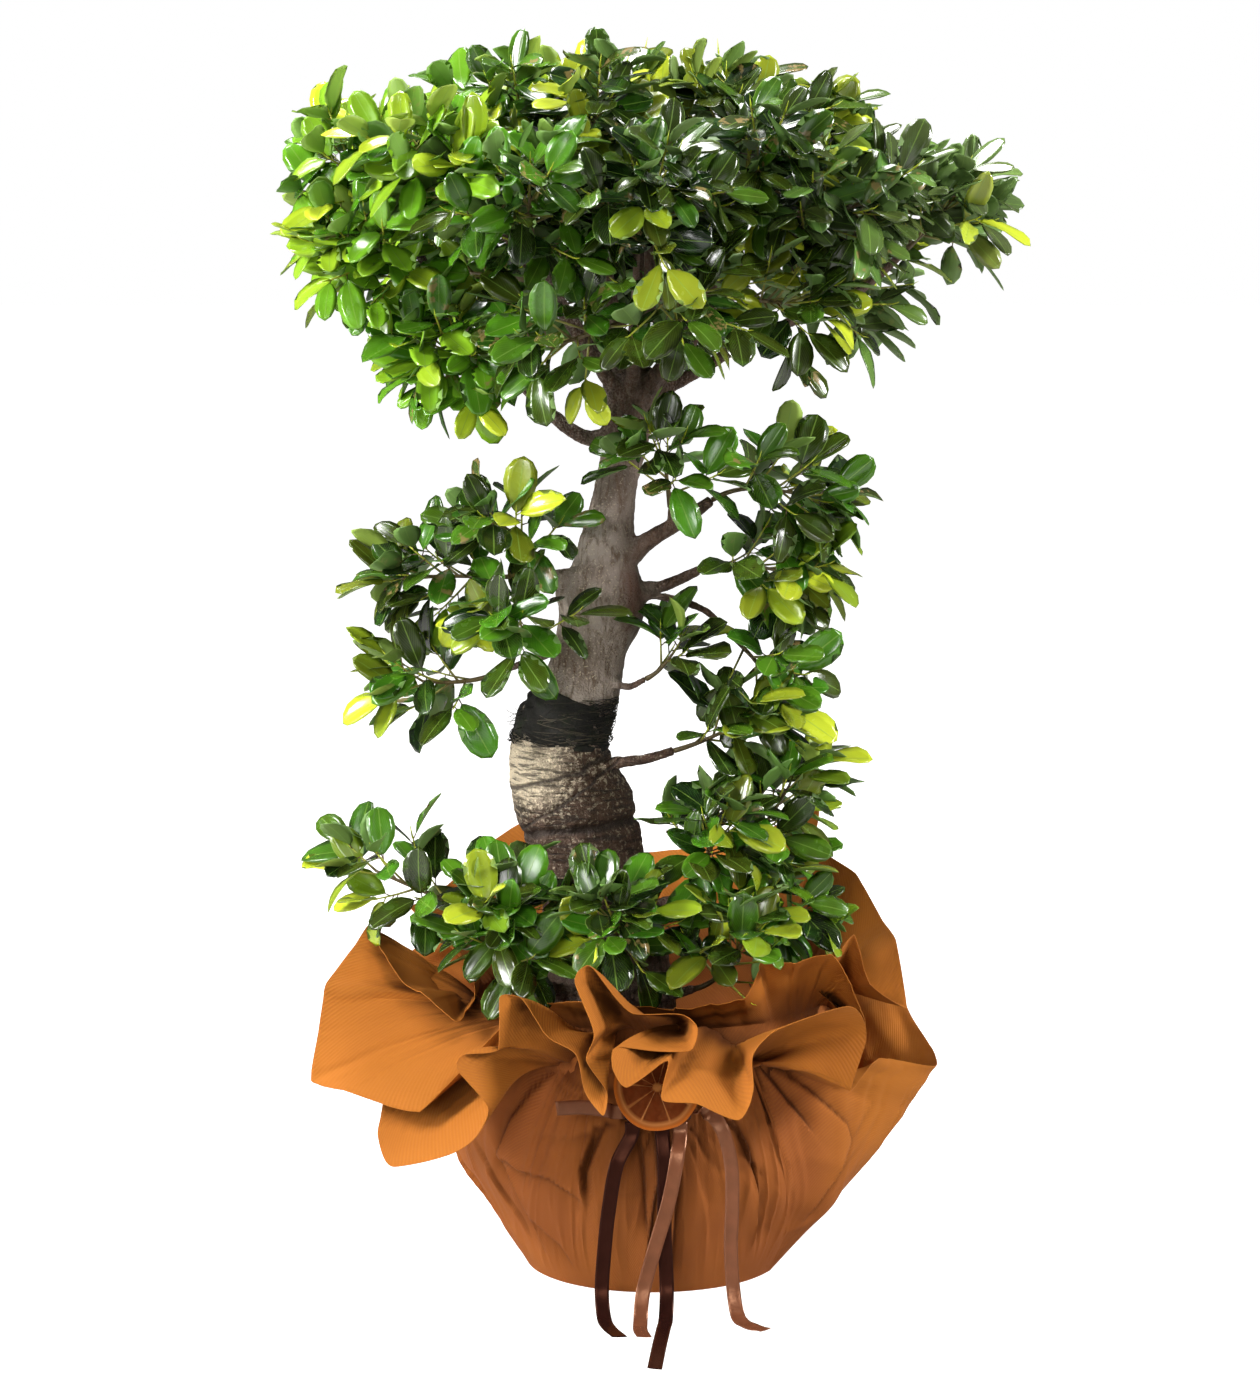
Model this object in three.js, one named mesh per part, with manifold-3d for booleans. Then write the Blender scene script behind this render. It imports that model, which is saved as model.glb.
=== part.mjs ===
// A ficus bonsai with an S-shaped trunk, in a pot wrapped in two gathered sheets and tied with ribbon.
// Millimetres, +Z up. The origin is the centre of the wrapped underside, and -Y is the front.
import * as THREE from "three";
import { mergeVertices } from "three/addons/utils/BufferGeometryUtils.js";
import Module from "manifold-3d";

const wasm = await Module();
wasm.setup();

// Driving dimensions
const GAP = 0.3;
const SHEET = 1.2;
const POT = { base: 98, rim: 148, height: 186, wall: 4, sides: 28 };
const SOIL_TOP = 172;
const SOIL_CROWN = 4;
const SOIL_EASE = 1;
const TRUNK_DEPTH = 85;
const TRUNK_HOLE = { x: -42, y: 0, radius: 63, cutter: 95, sides: 16 };
const NECK = { radius: 159, height: 238, middle: 4, level: 38, sides: 84, drop: 36 };
const FLARE = { radius: 173, reach: 48 };
const LINING_NECK = { radius: 152, height: 236 };
const RIBBON = { width: 12, thick: 0.8 };
const SLICE = { radius: 36, thick: 4.5, sides: 20, tilt: 15, place: [3, -175.6, 194] };
const TWIG = { stem: 2.8, tip: 1.6, shoot: 1.4 };
const LEAF = { long: 47, wide: 0.55, thick: 1.2, cup: 0.1, droop: 0.14 };
const GOLDEN_ANGLE = THREE.MathUtils.degToRad(137.5);

// How shoots sit on a spray's stem: pairs run from its first shoot to its last, angles are in degrees
const SHOOTING = {
  bow: 0.42, at: [0.3, 0.99], turnPlay: 0.7, spread: [66, 14], spreadPlay: 12,
  length: [1.05, 0.7], lengthLeast: 0.8, lengthPlay: 0.4, lift: 0.12,
};

// How leaves sit on a shoot: pairs run from its first leaf to its last
const LEAFING = {
  count: 6, at: [0.35, 0.97], open: [78, 34], openPlay: 16, turnPlay: 0.8, outward: 0.8, facePlay: 0.35,
  forward: 0.25, longLeast: 0.78, longPlay: 0.36, tip: 0.86, wideLeast: 0.9, widePlay: 0.2,
};
const CLEARANCE = 0.8;
const BAND = { from: 458, to: 497, thick: 3, steps: 3 };
const TRUNK_STEPS = 20;

const COLOURS = {
  bark: 0x8a7a68,
  fibre: 0x2c2a26,
  leaf: 0x2f6b1e,
  plastic: 0x3a2f2a,
  soil: 0x3b2a1e,
  wrap: 0xb5682c,
  lining: 0xc0722e,
  darkSatin: 0x3d2420,
  tanSatin: 0xa9745a,
  orange: 0x9a4a14,
};

const vec = (x, y, z) => new THREE.Vector3(x, y, z);
const radians = THREE.MathUtils.degToRad;
const lerp = THREE.MathUtils.lerp;
const clamp = THREE.MathUtils.clamp;

const tree = new THREE.Group();

function material(colour, roughness) {
  return new THREE.MeshStandardMaterial({ color: colour, roughness, metalness: 0 });
}

function place(name, geometry, colour, roughness) {
  const mesh = new THREE.Mesh(geometry, material(colour, roughness));
  mesh.name = name;
  tree.add(mesh);
  return mesh;
}

function bare(geometry) {
  geometry.deleteAttribute("normal");
  geometry.deleteAttribute("uv");
  return mergeVertices(geometry, 1e-3);
}

function solidOf(geometry) {
  const merged = bare(geometry);
  const vertProperties = new Float32Array(merged.attributes.position.array);
  const triVerts = new Uint32Array(merged.index.array);
  return new wasm.Manifold(new wasm.Mesh({ numProp: 3, vertProperties, triVerts }));
}

function geometryOf(solid) {
  const mesh = solid.getMesh();
  const geometry = new THREE.BufferGeometry();
  geometry.setAttribute("position", new THREE.BufferAttribute(mesh.vertProperties, 3));
  geometry.setIndex(new THREE.BufferAttribute(mesh.triVerts, 1));
  return geometry;
}

function joined(solids) {
  return solids.reduce((whole, next) => whole.add(next));
}

// Moves a unit-high geometry onto a curve: its x runs along side, its y along the curve
function sweep(geometry, curve, side, size) {
  const position = geometry.attributes.position;
  for (let i = 0; i < position.count; i++) {
    const t = clamp(position.getY(i) + 0.5, 0, 1);
    const along = curve.getTangentAt(t);
    const across = side.clone().addScaledVector(along, -along.dot(side)).normalize();
    const up = across.clone().cross(along);
    const [wide, thick] = size(t, Math.atan2(position.getZ(i), position.getX(i)));
    const point = curve.getPointAt(t);
    point.addScaledVector(across, position.getX(i) * wide);
    point.addScaledVector(up, position.getZ(i) * thick);
    position.setXYZ(i, point.x, point.y, point.z);
  }
  return geometry;
}

function sideways(direction) {
  return Math.abs(direction.x) < 0.7 ? vec(1, 0, 0) : vec(0, 1, 0);
}

// A prism of radius 1 and height 1 about the Y axis, with no point in the middle of its ends
function prism(sides, steps) {
  const corners = Array.from({ length: sides }, (_, i) => {
    const angle = (2 * Math.PI * i) / sides;
    return new THREE.Vector2(Math.cos(angle), Math.sin(angle));
  });
  const rod = new THREE.ExtrudeGeometry(new THREE.Shape(corners), { depth: 1, steps, bevelEnabled: false });
  return rod.rotateX(-Math.PI / 2).translate(0, -0.5, 0);
}

function twig(curve, thickStart, thickEnd, sides, steps) {
  const rod = prism(sides, steps);
  const direction = curve.getPoint(1).sub(curve.getPoint(0)).normalize();
  return sweep(rod, curve, sideways(direction), (t) => {
    const radius = lerp(thickStart, thickEnd, t);
    return [radius, radius];
  });
}

function lathe(outline, sides) {
  const points = outline.map(([radius, height]) => new THREE.Vector2(radius, height));
  return new THREE.LatheGeometry(points, sides).rotateX(Math.PI / 2);
}

// Trunk: its middle line and half widths follow the S of the plant
const TRUNK_LINE = [
  [-42, 0, SOIL_TOP - TRUNK_DEPTH], [-42, 0, SOIL_TOP], [-44, 0, 230], [-48, 0, 300], [-54, 0, 360],
  [-66, 0, 395], [-79, 2, 432], [-79, 2, 462], [-70, 0, 486], [-60, 0, 512], [-51, 0, 545], [-43, -2, 580],
  [-41, -4, 615], [-36, -4, 650], [-30, -2, 685], [-24, 0, 718], [-20, 0, 742], [-18, 0, 772],
];
const TRUNK_HALF = [61, 61, 58, 50, 44, 51, 46, 41, 36, 31, 32, 38, 27, 20, 18, 19, 22, 18];
const TRUNK_SIDES = 12;
const TRUNK_FLATNESS = 0.94;
const ROOT_LOBES = { count: 3, depth: 0.14, turn: 0.6, top: 345, fade: 60 };
const trunkCurve = new THREE.CatmullRomCurve3(TRUNK_LINE.map((point) => vec(...point)));

// The number of a place along the trunk, from 0 to 1, for a height
function trunkAt(height) {
  let low = 0;
  let high = 1;
  for (let i = 0; i < 30; i++) {
    const middle = (low + high) / 2;
    if (trunkCurve.getPointAt(middle).z < height) low = middle;
    else high = middle;
  }
  return low;
}

function trunkHalf(t) {
  const height = trunkCurve.getPointAt(t).z;
  let i = 1;
  while (i < TRUNK_LINE.length - 1 && TRUNK_LINE[i][2] < height) i++;
  const [from, to] = [TRUNK_LINE[i - 1][2], TRUNK_LINE[i][2]];
  const share = clamp((height - from) / (to - from), 0, 1);
  return lerp(TRUNK_HALF[i - 1], TRUNK_HALF[i], share);
}

// Thick roots stand out as three lobes between the soil and the waist of the trunk
function rootLobes(height, angle) {
  const { count, depth, turn, top, fade } = ROOT_LOBES;
  const share = clamp((height - SOIL_TOP) / fade, 0, 1) * clamp((top - height) / fade, 0, 1);
  return 1 + depth * share * Math.cos(count * angle + turn);
}

function trunkTube(from, to, steps, extra) {
  const rod = prism(TRUNK_SIDES, steps);
  const [start, end] = [trunkAt(from), trunkAt(to)];
  const stretch = new THREE.CatmullRomCurve3(
    Array.from({ length: steps + 1 }, (_, i) => trunkCurve.getPointAt(lerp(start, end, i / steps))),
  );
  return sweep(rod, stretch, vec(1, 0, 0), (t, angle) => {
    const at = lerp(start, end, t);
    const half = trunkHalf(at) * rootLobes(trunkCurve.getPointAt(at).z, angle) + extra;
    return [half, half * TRUNK_FLATNESS];
  });
}

// Limbs: each has a radius at its start and at its end, and a line of points between them
const limb = (start, end, ...line) => ({ line, thick: [start, end] });
const LIMBS = {
  lowLeft: limb(
    6.5, 4, [-26, 0, 726], [-54, -6, 719], [-84, -10, 738], [-113, -14, 768], [-165, -22, 826],
    [-205, -25, 888],
  ),
  lowRight: limb(6, 3.6, [-18, 0, 752], [23, -4, 768], [83, -6, 803], [176, -8, 845], [215, -6, 880]),
  leftStem: limb(7, 4, [-24, 3, 758], [-36, 8, 840], [-52, 4, 915], [-90, -8, 975]),
  middleStem: limb(8, 4, [-16, 2, 760], [-4, 0, 836], [-4, 12, 920], [-18, 24, 972]),
  rightStem: limb(8, 4, [-12, -2, 755], [22, -14, 790], [46, -20, 830], [50, -20, 890], [54, -14, 958]),
  front: limb(6, 3.6, [-18, -6, 750], [-16, -70, 818], [-14, -130, 885]),
  back: limb(6, 3.6, [-20, 8, 750], [-14, 80, 832], [-6, 145, 900]),
  backLeft: limb(6, 3.6, [-24, 6, 748], [-85, 66, 842], [-138, 98, 912]),
  frontLeft: limb(6, 3.6, [-26, -6, 752], [-82, -62, 835], [-128, -98, 900]),
  frontRight: limb(6, 3.6, [-14, -6, 752], [48, -62, 830], [108, -84, 885]),
  backRight: limb(6, 3.6, [-14, 6, 752], [60, 64, 842], [128, 84, 910]),
  rightBough: limb(9, 5, [-34, -4, 606], [-8, -14, 630], [24, -22, 650], [50, -26, 668]),
  rightBranch: limb(7, 4.5, [-36, 0, 590], [2, 2, 590], [40, -4, 606]),
  rightTwig: limb(4.5, 3, [-34, -4, 582], [6, -10, 584], [45, -12, 572], [62, -14, 556]),
  leftBranch: limb(7, 4, [-44, 0, 590], [-74, -14, 600], [-108, -24, 602]),
  leftTwig: limb(5, 3, [-52, 0, 545], [-90, -24, 536], [-135, -34, 520]),
  lowTwig: limb(4.5, 2.8, [-52, -4, 520], [-22, -26, 508], [-6, -34, 516]),
  kneeTwig: limb(6, 3.6, [-60, -10, 440], [-10, -32, 446], [18, -40, 455]),
  rootRight: limb(8, 4.5, [-46, 0, 300], [20, -24, 322], [58, -40, 352]),
  rootFront: limb(8, 4.5, [-44, -10, 262], [-36, -62, 282], [-30, -88, 296]),
  rootLeft: limb(7, 4, [-50, -6, 285], [-110, -40, 300], [-150, -56, 318]),
  rootLow: limb(7, 4, [-44, -4, 236], [8, -60, 246], [36, -86, 258]),
  rootLowLeft: limb(7, 4, [-48, -4, 240], [-84, -52, 250], [-104, -84, 262]),
};
const LIMB_SIDES = 5;
const LIMB_STEPS = 3;
const limbCurve = (name) => new THREE.CatmullRomCurve3(LIMBS[name].line.map((point) => vec(...point)));

// Sprays: the limb each grows from, how far along it, where its tip is, its shoots and their length
const CANOPY = { shoots: 12, shoot: 60 };
const SIDE = { shoots: 8, shoot: 44 };
const SPRAYS = {
  canopy_left_tip: { limb: "lowLeft", at: 1, tip: [-256, -28, 952], ...CANOPY },
  canopy_left_low: { limb: "lowLeft", at: 0.8, tip: [-246, -72, 880], ...CANOPY },
  canopy_left_hanging: { limb: "lowLeft", at: 0.52, tip: [-176, -72, 792], ...CANOPY },
  canopy_left_front: { limb: "frontLeft", at: 1, tip: [-190, -128, 958], ...CANOPY },
  canopy_left_back: { limb: "backLeft", at: 1, tip: [-206, 104, 958], ...CANOPY },
  canopy_left_back_low: { limb: "backLeft", at: 0.62, tip: [-196, 118, 862], ...CANOPY },
  canopy_top_left: { limb: "leftStem", at: 1, tip: [-128, -34, 990], ...CANOPY },
  canopy_top_front: { limb: "leftStem", at: 0.7, tip: [-48, -96, 990], ...CANOPY },
  canopy_top_middle: { limb: "middleStem", at: 1, tip: [-30, 62, 992], ...CANOPY },
  canopy_top_right: { limb: "rightStem", at: 1, tip: [62, -4, 988], ...CANOPY },
  canopy_top_right_back: { limb: "backRight", at: 1, tip: [146, 60, 966], ...CANOPY },
  canopy_top_right_front: { limb: "rightStem", at: 0.72, tip: [92, -112, 956], ...CANOPY },
  canopy_front: { limb: "front", at: 1, tip: [2, -200, 930], ...CANOPY },
  canopy_front_left: { limb: "frontLeft", at: 0.72, tip: [-100, -180, 922], ...CANOPY },
  canopy_front_low: { limb: "front", at: 0.55, tip: [-84, -146, 802], ...CANOPY },
  canopy_front_low_right: { limb: "front", at: 0.72, tip: [22, -158, 836], ...CANOPY },
  canopy_front_right: { limb: "frontRight", at: 1, tip: [172, -92, 918], ...CANOPY },
  canopy_right_low: { limb: "frontRight", at: 0.66, tip: [110, -98, 836], ...CANOPY },
  canopy_right_under: { limb: "lowRight", at: 0.6, tip: [180, 62, 848], ...CANOPY },
  canopy_right_tip: { limb: "lowRight", at: 1, tip: [246, -8, 912], ...CANOPY },
  canopy_right_back: { limb: "backRight", at: 0.64, tip: [176, 150, 908], ...CANOPY },
  canopy_back: { limb: "back", at: 1, tip: [44, 196, 940], ...CANOPY },
  canopy_back_left: { limb: "back", at: 0.78, tip: [-108, 166, 956], ...CANOPY },
  canopy_back_low: { limb: "back", at: 0.58, tip: [24, 190, 852], ...CANOPY },
  canopy_back_low_left: { limb: "backLeft", at: 0.4, tip: [-92, 190, 856], ...CANOPY },
  right_upper: { limb: "rightBough", at: 0.62, tip: [10, -54, 700], ...SIDE },
  right_outer: { limb: "rightBough", at: 1, tip: [128, -34, 672], ...SIDE, shoots: 12 },
  right_middle: { limb: "rightBranch", at: 1, tip: [112, -30, 606], ...SIDE, shoots: 12 },
  right_hanging: { limb: "rightTwig", at: 1, tip: [98, -38, 520], ...SIDE },
  left_upper: { limb: "leftBranch", at: 0.66, tip: [-122, -58, 646], ...SIDE },
  left_outer: { limb: "leftBranch", at: 1, tip: [-200, -34, 604], ...SIDE, shoots: 12 },
  left_front: { limb: "leftTwig", at: 0.5, tip: [-118, -84, 570], ...SIDE },
  left_low: { limb: "leftTwig", at: 1, tip: [-196, -50, 516], ...SIDE },
  trunk_sprig: { limb: "lowTwig", at: 1, tip: [16, -44, 538], ...SIDE, shoots: 4, shoot: 30 },
  knee_upper: { limb: "kneeTwig", at: 1, tip: [72, -56, 480], ...SIDE },
  knee_outer: { limb: "rootRight", at: 1, tip: [116, -40, 424], ...SIDE, shoots: 12 },
  knee_front: { limb: "rootRight", at: 0.7, tip: [52, -92, 388], ...SIDE, shoots: 12 },
  knee_low: { limb: "rootRight", at: 0.6, tip: [118, -58, 316], ...SIDE },
  root_front: { limb: "rootFront", at: 1, tip: [-34, -146, 330], ...SIDE, shoots: 12 },
  root_front_left: { limb: "rootLeft", at: 0.6, tip: [-122, -112, 326], ...SIDE, shoots: 12 },
  root_left_spur: { limb: "rootLeft", at: 1, tip: [-236, -66, 356], ...SIDE },
  root_low_right: { limb: "rootLow", at: 1, tip: [74, -130, 308], ...SIDE, shoots: 12 },
  root_low_left: { limb: "rootLowLeft", at: 1, tip: [-132, -126, 318], ...SIDE },
};
Object.values(SPRAYS).forEach((spray, i) => {
  spray.seed = 101 + 37 * i;
});

const STUB = { length: 20, radius: 3.4, end: 3, sides: 4 };

// Where a spray leaves the wood, and which way it points there
function sprayStart(spray) {
  const curve = limbCurve(spray.limb);
  const from = curve.getPointAt(spray.at);
  const along = curve.getTangentAt(spray.at);
  if (spray.at === 1) return { from, start: from, along };
  const aim = vec(...spray.tip).sub(from).normalize();
  return { from, start: from.clone().addScaledVector(aim, STUB.length), along: aim };
}

// The same dice in every run: a Park-Miller sequence
function dice(seed) {
  let state = seed;
  return () => {
    state = (state * 16807) % 2147483647;
    return state / 2147483647;
  };
}

// A direction that leaves along by an angle, turned round it
function leaning(along, angle, turn) {
  const across = sideways(along).addScaledVector(along, -along.dot(sideways(along))).normalize();
  const over = along.clone().cross(across);
  const outward = across.multiplyScalar(Math.cos(turn)).addScaledVector(over, Math.sin(turn));
  return along.clone().multiplyScalar(Math.cos(angle)).addScaledVector(outward, Math.sin(angle));
}

// The plan of one spray: its stem, its shoots by the golden angle, and the leaves on each shoot
function sprayPlan(spray) {
  const roll = dice(spray.seed);
  const { start, along } = sprayStart(spray);
  const tip = vec(...spray.tip);
  const root = start.clone().addScaledVector(along, GAP);
  const bow = root.clone().addScaledVector(along, SHOOTING.bow * tip.distanceTo(root));
  const stem = new THREE.QuadraticBezierCurve3(root, bow, tip);
  const shoots = [];
  for (let k = 0; k < spray.shoots; k++) {
    const share = k / (spray.shoots - 1);
    const at = lerp(...SHOOTING.at, share);
    const turn = k * GOLDEN_ANGLE + SHOOTING.turnPlay * roll();
    const spread = radians(lerp(...SHOOTING.spread, share) + SHOOTING.spreadPlay * roll());
    const play = SHOOTING.lengthLeast + SHOOTING.lengthPlay * roll();
    const length = spray.shoot * lerp(...SHOOTING.length, share) * play;
    const direction = leaning(stem.getTangentAt(at), spread, turn);
    direction.z += SHOOTING.lift;
    direction.normalize();
    const from = stem.getPointAt(at);
    const leaves = [];
    for (let j = 0; j < LEAFING.count; j++) {
      leaves.push(leafPlan(from, direction, length, j, roll));
    }
    shoots.push({ from, direction, length, leaves });
  }
  return { stem, shoots };
}

// The place, direction and size of one leaf on a shoot
function leafPlan(from, direction, length, j, roll) {
  const step = (j + 1) / LEAFING.count;
  const base = from.clone().addScaledVector(direction, length * lerp(...LEAFING.at, step));
  const open = radians(lerp(...LEAFING.open, step) + LEAFING.openPlay * (roll() - 0.5));
  const axis = leaning(direction, open, j * GOLDEN_ANGLE + LEAFING.turnPlay * roll());
  axis.z -= LEAF.droop;
  axis.normalize();
  const light = vec(0, 0, 1).addScaledVector(direction, LEAFING.outward);
  light.x += LEAFING.facePlay * (roll() - 0.5);
  light.y += LEAFING.facePlay * (roll() - 0.5) - LEAFING.forward;
  const face = light.addScaledVector(axis, -axis.dot(light)).normalize();
  const long = LEAF.long * (LEAFING.longLeast + LEAFING.longPlay * roll()) * lerp(1, LEAFING.tip, step);
  const wide = long * LEAF.wide * (LEAFING.wideLeast + LEAFING.widePlay * roll());
  const tone = roll();
  return { base, axis, face, long, wide, tone };
}

// A leaf's outline, as shares of its length, its width and its cup
const LEAF_OUTLINE = [[0, 0, 0], [0.3, 0.39, 1], [0.66, 0.5, 1], [1, 0, 0], [0.66, -0.5, 1], [0.3, -0.39, 1]];

// A leaf blade: narrow at its base, widest past its middle, folded along the midrib, equally thick all over
function blade({ base, axis, face, long, wide }, extra = 0) {
  const side = axis.clone().cross(face);
  const half = (LEAF.thick + extra) / 2;
  const points = [half, -half].flatMap((lift) => LEAF_OUTLINE.map(([along, across, edge]) => {
    const point = base.clone().addScaledVector(axis, along * (long + extra));
    point.addScaledVector(side, across * (wide + extra));
    return point.addScaledVector(face, lift + edge * LEAF.cup * wide);
  }));
  const upper = [[0, 1, 3], [1, 2, 3], [0, 3, 5], [3, 4, 5]];
  const lower = upper.map(([a, b, c]) => [a + 6, c + 6, b + 6]);
  const rim = LEAF_OUTLINE.flatMap((_, a) => {
    const b = (a + 1) % 6;
    return [[b, a, a + 6], [b, a + 6, b + 6]];
  });
  const geometry = new THREE.BufferGeometry();
  const numbers = points.flatMap((point) => point.toArray());
  geometry.setAttribute("position", new THREE.Float32BufferAttribute(numbers, 3));
  geometry.setIndex([...upper, ...lower, ...rim].flat());
  return solidOf(geometry);
}

// Everything that a leaf has to stay clear of, with its box and the spray that it belongs to
const standing = [];

function stand(solid, owner, part) {
  standing.push({ solid, owner, part, box: solid.boundingBox() });
}

function apart(a, b) {
  return a.min.some((low, i) => low > b.max[i]) || b.min.some((low, i) => low > a.max[i]);
}

function isClear(solid, mayCross) {
  const box = solid.boundingBox();
  return !standing.some((other) => {
    if (mayCross(other) || apart(box, other.box)) return false;
    return !other.solid.intersect(solid).isEmpty();
  });
}

// Pot: a tapered plastic tub with a flat floor
const potFloor = 2 * (SHEET + GAP);
const potTop = potFloor + POT.height;
const potOutline = [
  [0, potFloor], [POT.base, potFloor], [POT.rim, potTop], [POT.rim - POT.wall, potTop],
  [POT.base - POT.wall, potFloor + POT.wall], [0, potFloor + POT.wall],
];
place("pot", lathe(potOutline, POT.sides), COLOURS.plastic, 0.5);

// Soil: fills the pot to just below the rim, with a plain round hole for the trunk's foot
function potInside(height) {
  const share = (height - potFloor) / POT.height;
  return lerp(POT.base, POT.rim, share) - POT.wall - 2 * GAP;
}
const soilFloor = potFloor + POT.wall + GAP;
const soilOutline = [
  [0, soilFloor], [potInside(soilFloor) - SOIL_EASE, soilFloor],
  [potInside(SOIL_TOP), SOIL_TOP], [0, SOIL_TOP + SOIL_CROWN],
];
const { x: holeX, y: holeY, radius: holeRadius, cutter, sides: holeSides } = TRUNK_HOLE;
const hole = new THREE.CylinderGeometry(holeRadius, holeRadius, 2 * cutter, holeSides);
hole.rotateX(Math.PI / 2).translate(holeX, holeY, SOIL_TOP - TRUNK_DEPTH - GAP + cutter);
const soil = solidOf(lathe(soilOutline, POT.sides)).subtract(solidOf(hole));
place("soil", geometryOf(soil), COLOURS.soil, 0.95);

// Trunk with its limbs, and a short stub for each spray that leaves a limb's side
const trunkParts = [solidOf(trunkTube(TRUNK_LINE[0][2], TRUNK_LINE.at(-1)[2], TRUNK_STEPS, 0))];
for (const [name, { thick }] of Object.entries(LIMBS)) {
  trunkParts.push(solidOf(twig(limbCurve(name), thick[0], thick[1], LIMB_SIDES, LIMB_STEPS)));
}
for (const spray of Object.values(SPRAYS)) {
  const { from, start } = sprayStart(spray);
  if (spray.at === 1) continue;
  const stub = twig(new THREE.LineCurve3(from, start), STUB.radius, STUB.end, STUB.sides, 1);
  trunkParts.push(solidOf(stub));
}
const trunk = joined(trunkParts);
place("trunk", geometryOf(trunk), COLOURS.bark, 0.8);
stand(trunk, "trunk");

// Graft band: a sleeve of matted fibre round the narrow place above the swollen knee
const bandOutside = solidOf(trunkTube(BAND.from, BAND.to, BAND.steps, BAND.thick));
const trunkGrown = solidOf(trunkTube(TRUNK_LINE[0][2], TRUNK_LINE.at(-1)[2], TRUNK_STEPS, GAP));
const band = bandOutside.subtract(trunkGrown);
place("graft_band", geometryOf(band), COLOURS.fibre, 0.95);
stand(band, "graft_band");

// A sheet: columns of points from the foot to the edge, all meeting under the pot, made equally thick
function sheetSolid(columns, centre) {
  const rows = columns[0].length;
  const outside = [centre, ...columns.flat()];
  const at = (column, row) => 1 + (column % columns.length) * rows + row;
  const faces = [];
  for (let column = 0; column < columns.length; column++) {
    faces.push([0, at(column, 0), at(column + 1, 0)]);
    for (let row = 0; row < rows - 1; row++) {
      const [a, b] = [at(column, row), at(column + 1, row)];
      const [c, d] = [at(column + 1, row + 1), at(column, row + 1)];
      faces.push([a, c, b], [a, d, c]);
    }
  }
  const normals = outside.map(() => vec(0, 0, 0));
  for (const face of faces) {
    const [a, b, c] = face.map((i) => outside[i]);
    const normal = b.clone().sub(a).cross(c.clone().sub(a));
    face.forEach((i) => normals[i].add(normal));
  }
  const inside = outside.map((point, i) => point.clone().addScaledVector(normals[i].normalize(), -SHEET));
  const shift = outside.length;
  const lining = faces.map(([a, b, c]) => [a + shift, c + shift, b + shift]);
  const hem = columns.flatMap((_, column) => {
    const [a, b] = [at(column, rows - 1), at(column + 1, rows - 1)];
    return [[a, b + shift, b], [a, a + shift, b + shift]];
  });
  const geometry = new THREE.BufferGeometry();
  const points = [...outside, ...inside].flatMap((point) => point.toArray());
  geometry.setAttribute("position", new THREE.Float32BufferAttribute(points, 3));
  geometry.setIndex([...faces, ...lining, ...hem].flat());
  return geometry;
}

function around(angle, radius, height) {
  return vec(radius * Math.cos(radians(angle)), radius * Math.sin(radians(angle)), height);
}

// Outer sheet: its ruffled front edge from right to left, then the angle and size of the neck under it
const RUFFLE = [
  [163, -170, 189], [177, -150, 232], [160, -180, 261], [100, -220, 251], [80, -248, 237], [79, -270, 213],
  [67, -285, 194], [34, -282, 206], [6, -280, 209], [11, -255, 235], [-22, -280, 218], [-34, -270, 231],
  [-32, -250, 244], [-1, -245, 240], [29, -250, 242], [34, -240, 258], [21, -225, 265], [-18, -215, 264],
  [-39, -205, 284], [-54, -205, 301], [-64, -215, 291], [-49, -235, 253], [-55, -245, 233], [-38, -275, 214],
  [-41, -290, 198], [-56, -270, 213], [-64, -235, 235], [-88, -218, 246], [-109, -200, 274],
  [-126, -205, 277], [-126, -210, 250], [-128, -215, 233], [-155, -235, 235], [-159, -240, 224],
  [-134, -230, 190],
];
const RUFFLE_NECK = [-57, -121];
const WRAP_SIDES = [
  { neck: [-128, 161, 216], edge: [-144, -215, 161] },
  { neck: [-136, 164, 202], edge: [-167, -200, 143] },
  { neck: [-146, 165, 196], edge: [-218, -165, 124] },
  { neck: [-154, 166, 198], edge: [-231, -135, 143] },
  { neck: [-162, 168, 204], edge: [-228, -110, 167] },
  { neck: [-176, 171, 210], edge: [-238, -30, 214] },
  { neck: [-195, 173, 214], edge: [-214, 62, 262] },
  { neck: [-218, 173, 214], edge: [-168, 140, 268] },
  { neck: [-242, 173, 214], edge: [-104, 192, 262] },
  { neck: [-266, 173, 214], edge: [-12, 226, 250] },
  { neck: [-290, 173, 214], edge: [84, 208, 262] },
  { neck: [-314, 173, 214], edge: [158, 156, 268] },
  { neck: [-336, 178, 205], edge: [206, 98, 246] },
  { neck: [-351, 196, 168], edge: [228, 46, 208] },
  { neck: [-365, 221, 130], edge: [244, -30, 180] },
  { neck: [-388, 190, 168], edge: [193, -90, 197] },
];
const FOOT = 111;
const NECK_TO_FOOT = [[-57, -28], [-121, -152], [-160, -176], [-200, -200], [-365, -365], [-388, -382]];
const BODY_SHARES = [0.2, 0.42, 0.7];
const FULL_BODY = [0.5, 0.95, 1.08];
const STRAIGHT_BODY = [0.16, 0.43, 0.72];

// Reads a value off a line drawn through pairs of numbers, whose first numbers fall
function offLine(pairs, x) {
  const i = clamp(pairs.findIndex((pair) => pair[0] <= x), 1, pairs.length - 1);
  const [[x0, y0], [x1, y1]] = [pairs[i - 1], pairs[i]];
  return lerp(y0, y1, clamp((x - x0) / (x1 - x0), 0, 1));
}

// One column of the outer sheet: the foot, the bulging body, the neck and the edge
function wrapColumn([angle, radius, height], edge) {
  const foot = offLine(NECK_TO_FOOT, angle);
  const flare = clamp((radius - FLARE.radius) / FLARE.reach, 0, 1);
  const body = BODY_SHARES.map((share, i) => {
    const reach = lerp(FULL_BODY[i], STRAIGHT_BODY[i], flare);
    return around(lerp(foot, angle, share), lerp(FOOT, radius, reach), share * height);
  });
  return [around(foot, FOOT, 0), ...body, around(angle, radius, height), vec(...edge)];
}

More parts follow.
